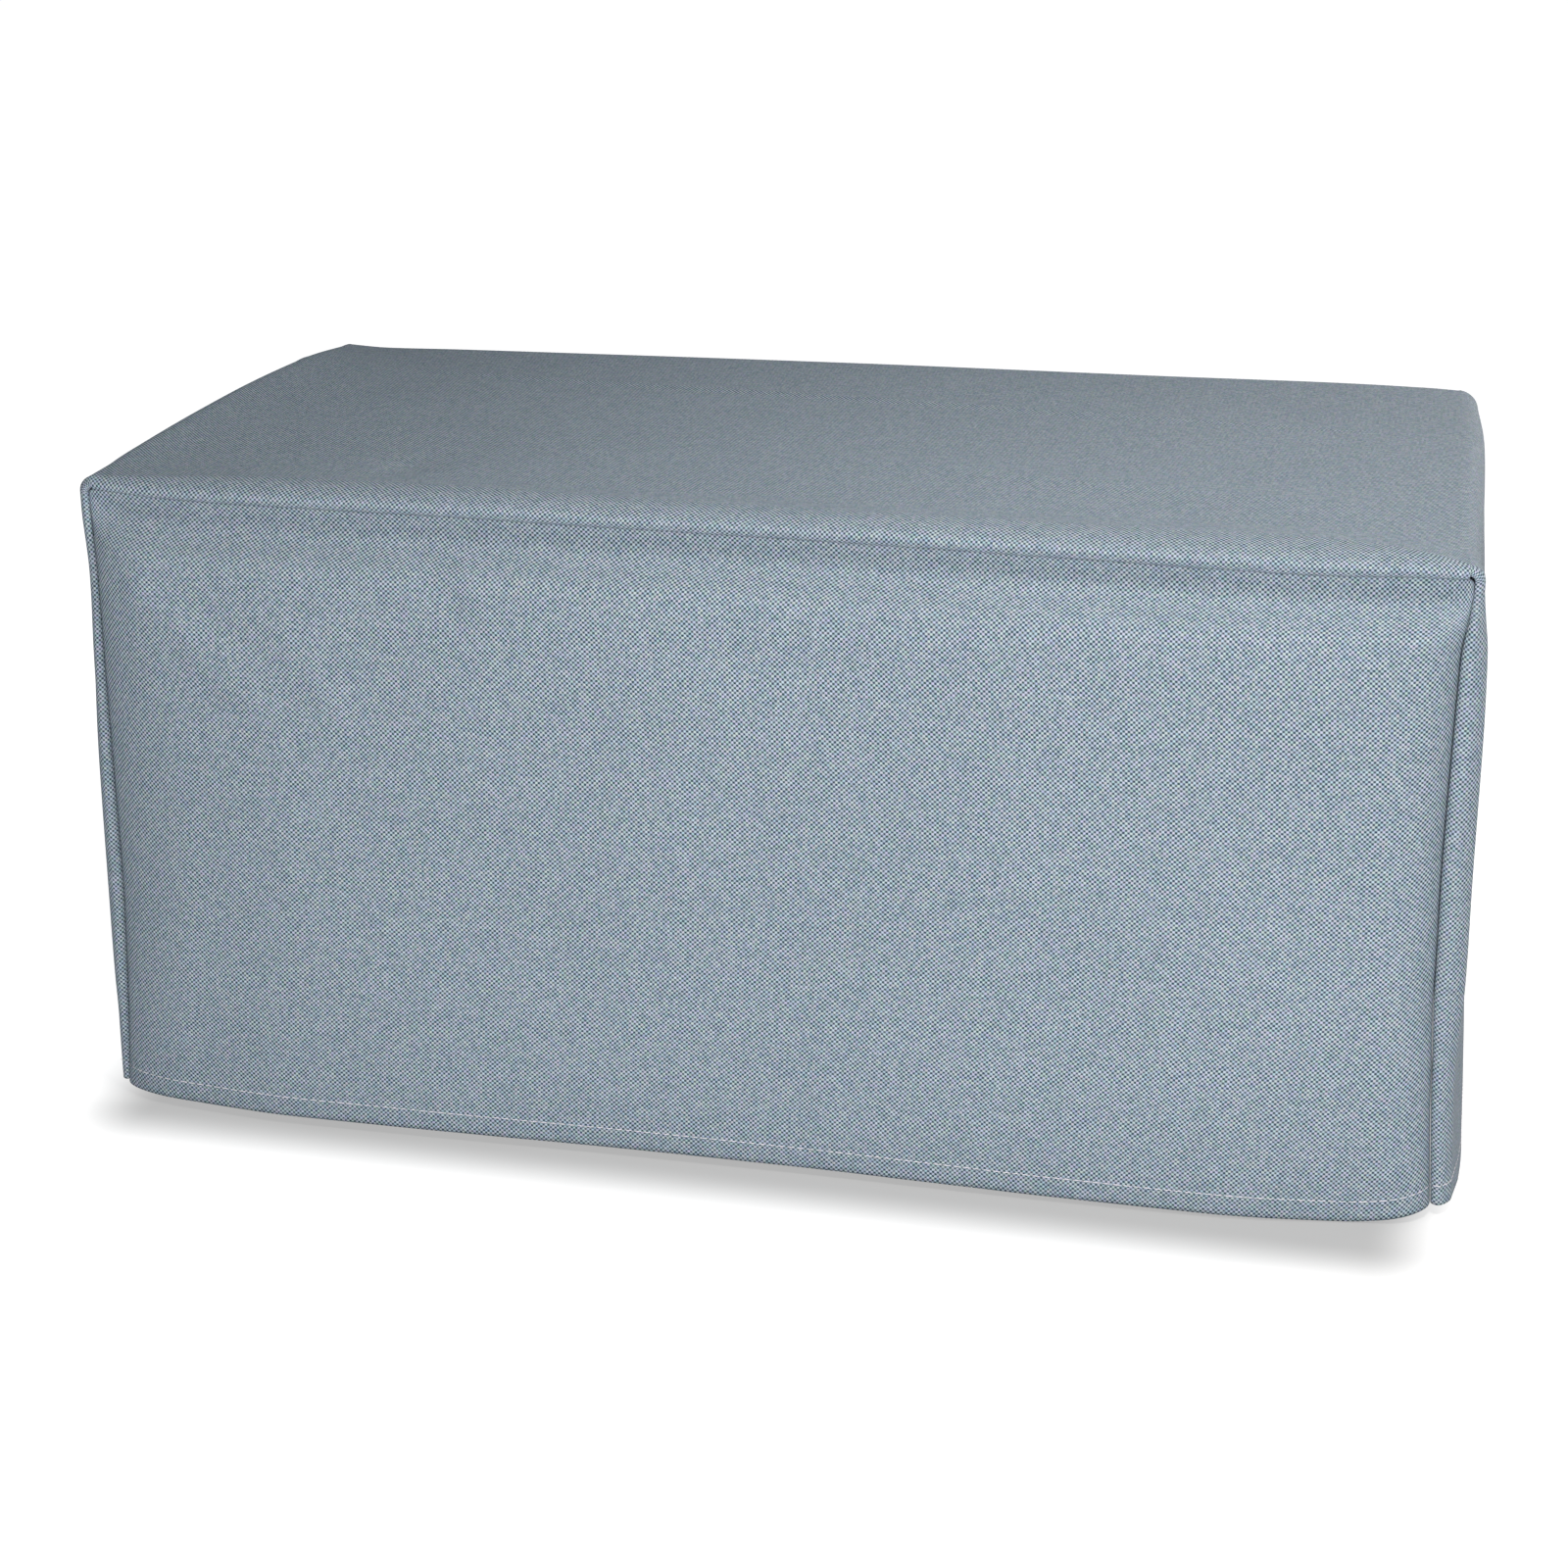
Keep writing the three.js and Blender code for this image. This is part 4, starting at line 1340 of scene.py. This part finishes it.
@dataclass(frozen=True)
class Softbox:
    """One lamp behind a white cloth, in metres and watts."""

    name: str
    at: tuple[float, float, float]
    aim: tuple[float, float, float]
    size: tuple[float, float]
    power: float
    colour: tuple[float, float, float] = (1.0, 1.0, 1.0)


@dataclass(frozen=True)
class Studio:
    """Pale floor that glows like a light table, with a painted shadow round the cover, soft light and the
    camera.
    """

    softboxes: tuple[Softbox, ...] = (
        Softbox("front_softbox", (0.27, -1.11, -0.07), (0.05, -0.12, -0.12), (0.28, 0.22), 11.2),
        Softbox(
            "upper_softbox", (0.23, -0.27, 0.61), (0.05, -0.10, -0.05), (0.24, 0.20), 6.15, (1.0, 0.98, 0.95)
        ),
        Softbox("side_softbox", (0.62, 0.30, 0.185), (0.05, 0.05, 0.0), (0.24, 0.20), 2.5, (1.0, 0.88, 0.80)),
    )

    camera_at: tuple[float, float, float] = (0.1972, -1.0001, 0.2347)
    azimuth: float = 12.0
    elevation: float = 19.76
    lens: float = 67.0
    floor_z: float = -0.2200
    sky: float = 0.20
    sky_colour: tuple[float, float, float] = (0.87, 0.96, 1.04)
    glow: float = 0.97
    floor_reach: float = 12.0
    # The floor's own colour and glow, and the darker colour and glow of a painted shadow under the cover and
    # round its hem, fading out over the shadow's width outside the footprint.
    floor_colour: str = "8A8A8A"
    shadow_colour: str = "505050"
    floor_glow: str = "FFFFFF"
    shadow_glow: str = "B2B2B2"
    footprint: tuple[tuple[float, float], ...] = ((-0.208, -0.144), (0.210, 0.110))
    footprint_turn: float = 1.9
    shadow_width: float = 0.037

    def floor(self) -> bpy.types.Object:
        """Build the floor.

        Returns:
            The floor, which is not part of the object.
        """
        mesh = bpy.data.meshes.new("floor")
        far, up = self.floor_reach, self.floor_z
        corners = [(-far, -far, up), (far, -far, up), (far, far, up), (-far, far, up)]
        mesh.from_pydata(corners, [], [(0, 1, 2, 3)])
        floor = bpy.data.objects.new("floor", mesh)
        bpy.context.scene.collection.objects.link(floor)
        material = bpy.data.materials.new("floor_paper")
        nodes = new_tree(material)
        # Painted shadow: the floor's colour and glow darken under the cover and towards its hem.
        near = self.away(nodes)
        pair = {0: near, 6: linear(self.shadow_colour), 7: linear(self.floor_colour)}
        colour = nodes.add("ShaderNodeMix", pair, data_type="RGBA").outputs[2]
        pair = {0: near, 6: linear(self.shadow_glow), 7: linear(self.floor_glow)}
        glow = nodes.add("ShaderNodeMix", pair, data_type="RGBA").outputs[2]
        inputs = {"Base Color": colour, "Roughness": 0.95, "Specular IOR Level": 0.1}
        inputs |= {"Emission Color": glow, "Emission Strength": self.glow}
        shader = nodes.add("ShaderNodeBsdfPrincipled", inputs)
        nodes.add("ShaderNodeOutputMaterial", {0: shader})
        floor.data.materials.append(material)
        return floor

    def away(self, nodes: Nodes) -> bpy.types.Node:
        """Mask of the floor's painted shadow: grow from 0 under the cover to 1 a little way outside its hem.

        Args:
            nodes: Helper for the floor's tree.

        Returns:
            Node with the value.
        """
        low, high = (Vector((*corner, 0.0)) for corner in self.footprint)
        value = nodes.add("ShaderNodeTexCoord").outputs["Object"]
        value = nodes.add("ShaderNodeVectorMath", {0: value, 1: (low + high) / 2}, operation="SUBTRACT")
        turn = {"Vector": value, "Angle": math.radians(self.footprint_turn)}
        value = nodes.add("ShaderNodeVectorRotate", turn, rotation_type="Z_AXIS")
        value = nodes.add("ShaderNodeVectorMath", {0: value}, operation="ABSOLUTE")
        for operation, other in (
            ("SUBTRACT", (high - low) / 2),
            ("MULTIPLY", (1.0, 1.0, 0.0)),
            ("MAXIMUM", (0.0, 0.0, 0.0)),
        ):
            value = nodes.add("ShaderNodeVectorMath", {0: value, 1: other}, operation=operation)
        distance = nodes.add("ShaderNodeVectorMath", {0: value}, operation="LENGTH").outputs["Value"]
        inputs = {"Value": distance, "From Min": 0.0, "From Max": self.shadow_width}
        return nodes.add("ShaderNodeMapRange", inputs, interpolation_type="SMOOTHSTEP")

    def lamp(self, softbox: Softbox) -> None:
        """Add one softbox.

        Args:
            softbox: Its place, size and power.
        """
        data = bpy.data.lights.new(softbox.name, "AREA")
        data.shape = "RECTANGLE"
        data.size, data.size_y = softbox.size
        data.energy = softbox.power
        data.color = softbox.colour
        lamp = bpy.data.objects.new(softbox.name, data)
        bpy.context.scene.collection.objects.link(lamp)
        lamp.visible_camera = False
        lamp.location = softbox.at
        aim = Vector(softbox.aim) - lamp.location
        lamp.rotation_euler = aim.to_track_quat("-Z", "Y").to_euler()

    def light(self) -> None:
        """Add the sky and the softboxes."""
        world = bpy.data.worlds.new("studio")
        bpy.context.scene.world = world
        world.use_nodes = True
        background = world.node_tree.nodes["Background"]
        background.inputs[0].default_value = (*self.sky_colour, 1.0)
        background.inputs[1].default_value = self.sky
        for softbox in self.softboxes:
            self.lamp(softbox)

    def camera(self) -> None:
        """Add the camera at the photograph's viewing angle."""
        a, e = math.radians(self.azimuth), math.radians(self.elevation)
        back = Vector((math.sin(a) * math.cos(e), -math.cos(a) * math.cos(e), math.sin(e)))
        right = Vector((math.cos(a), math.sin(a), 0.0))
        above = back.cross(right)
        data = bpy.data.cameras.new("camera")
        data.sensor_width = 36.0
        data.lens = self.lens
        data.clip_start = 0.05
        camera = bpy.data.objects.new("camera", data)
        bpy.context.scene.collection.objects.link(camera)
        turn = Matrix((right, above, back)).transposed().to_4x4()
        camera.matrix_world = Matrix.Translation(self.camera_at) @ turn
        bpy.context.scene.camera = camera

    def build(self) -> None:
        """Build the studio."""
        self.floor()
        self.light()
        self.camera()
        bpy.context.scene.view_settings.view_transform = "Standard"
        bpy.context.scene.view_settings.look = "None"


def dress(piece: bpy.types.Object, material: bpy.types.Material | None, node: str | None) -> None:
    """Fix a piece to the cover and hide the CAD node that it replaces.

    Args:
        piece: The piece.
        material: Its material, or None to keep its own.
        node: CAD node that it replaces, or None.
    """
    if material is not None:
        piece.data.materials.append(material)
    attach(piece, "root")
    if node is not None:
        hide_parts(node)
    LOG.info("built %s with %d faces", piece.name, len(piece.data.polygons))


def main() -> None:
    """Build the cover, its stitches and the studio."""
    logging.basicConfig(level=logging.INFO, format="%(message)s")
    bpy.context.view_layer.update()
    form = CoverForm()
    cloth = OxfordCloth().build()
    thread = SewingThread().build()
    wrap = WrapPanel(form)
    front = FacePanel(form, End.FRONT, "front_cloth")
    back = FacePanel(form, End.BACK, "back_cloth")
    for panel, node, flat in (
        (wrap, "wrap_panel", (0.260, 0.925)),
        (front, "front_panel", (0.492, 0.248)),
        (back, "back_panel", (0.492, 0.246)),
    ):
        piece = panel.build()
        dress(piece, cloth, node)
        stitches = HemStitches().build(node.replace("panel", "hem_stitches"), panel.stitch_paths, thread)
        dress(stitches, None, None)
    Studio().build()


if __name__ == "__main__":
    main()
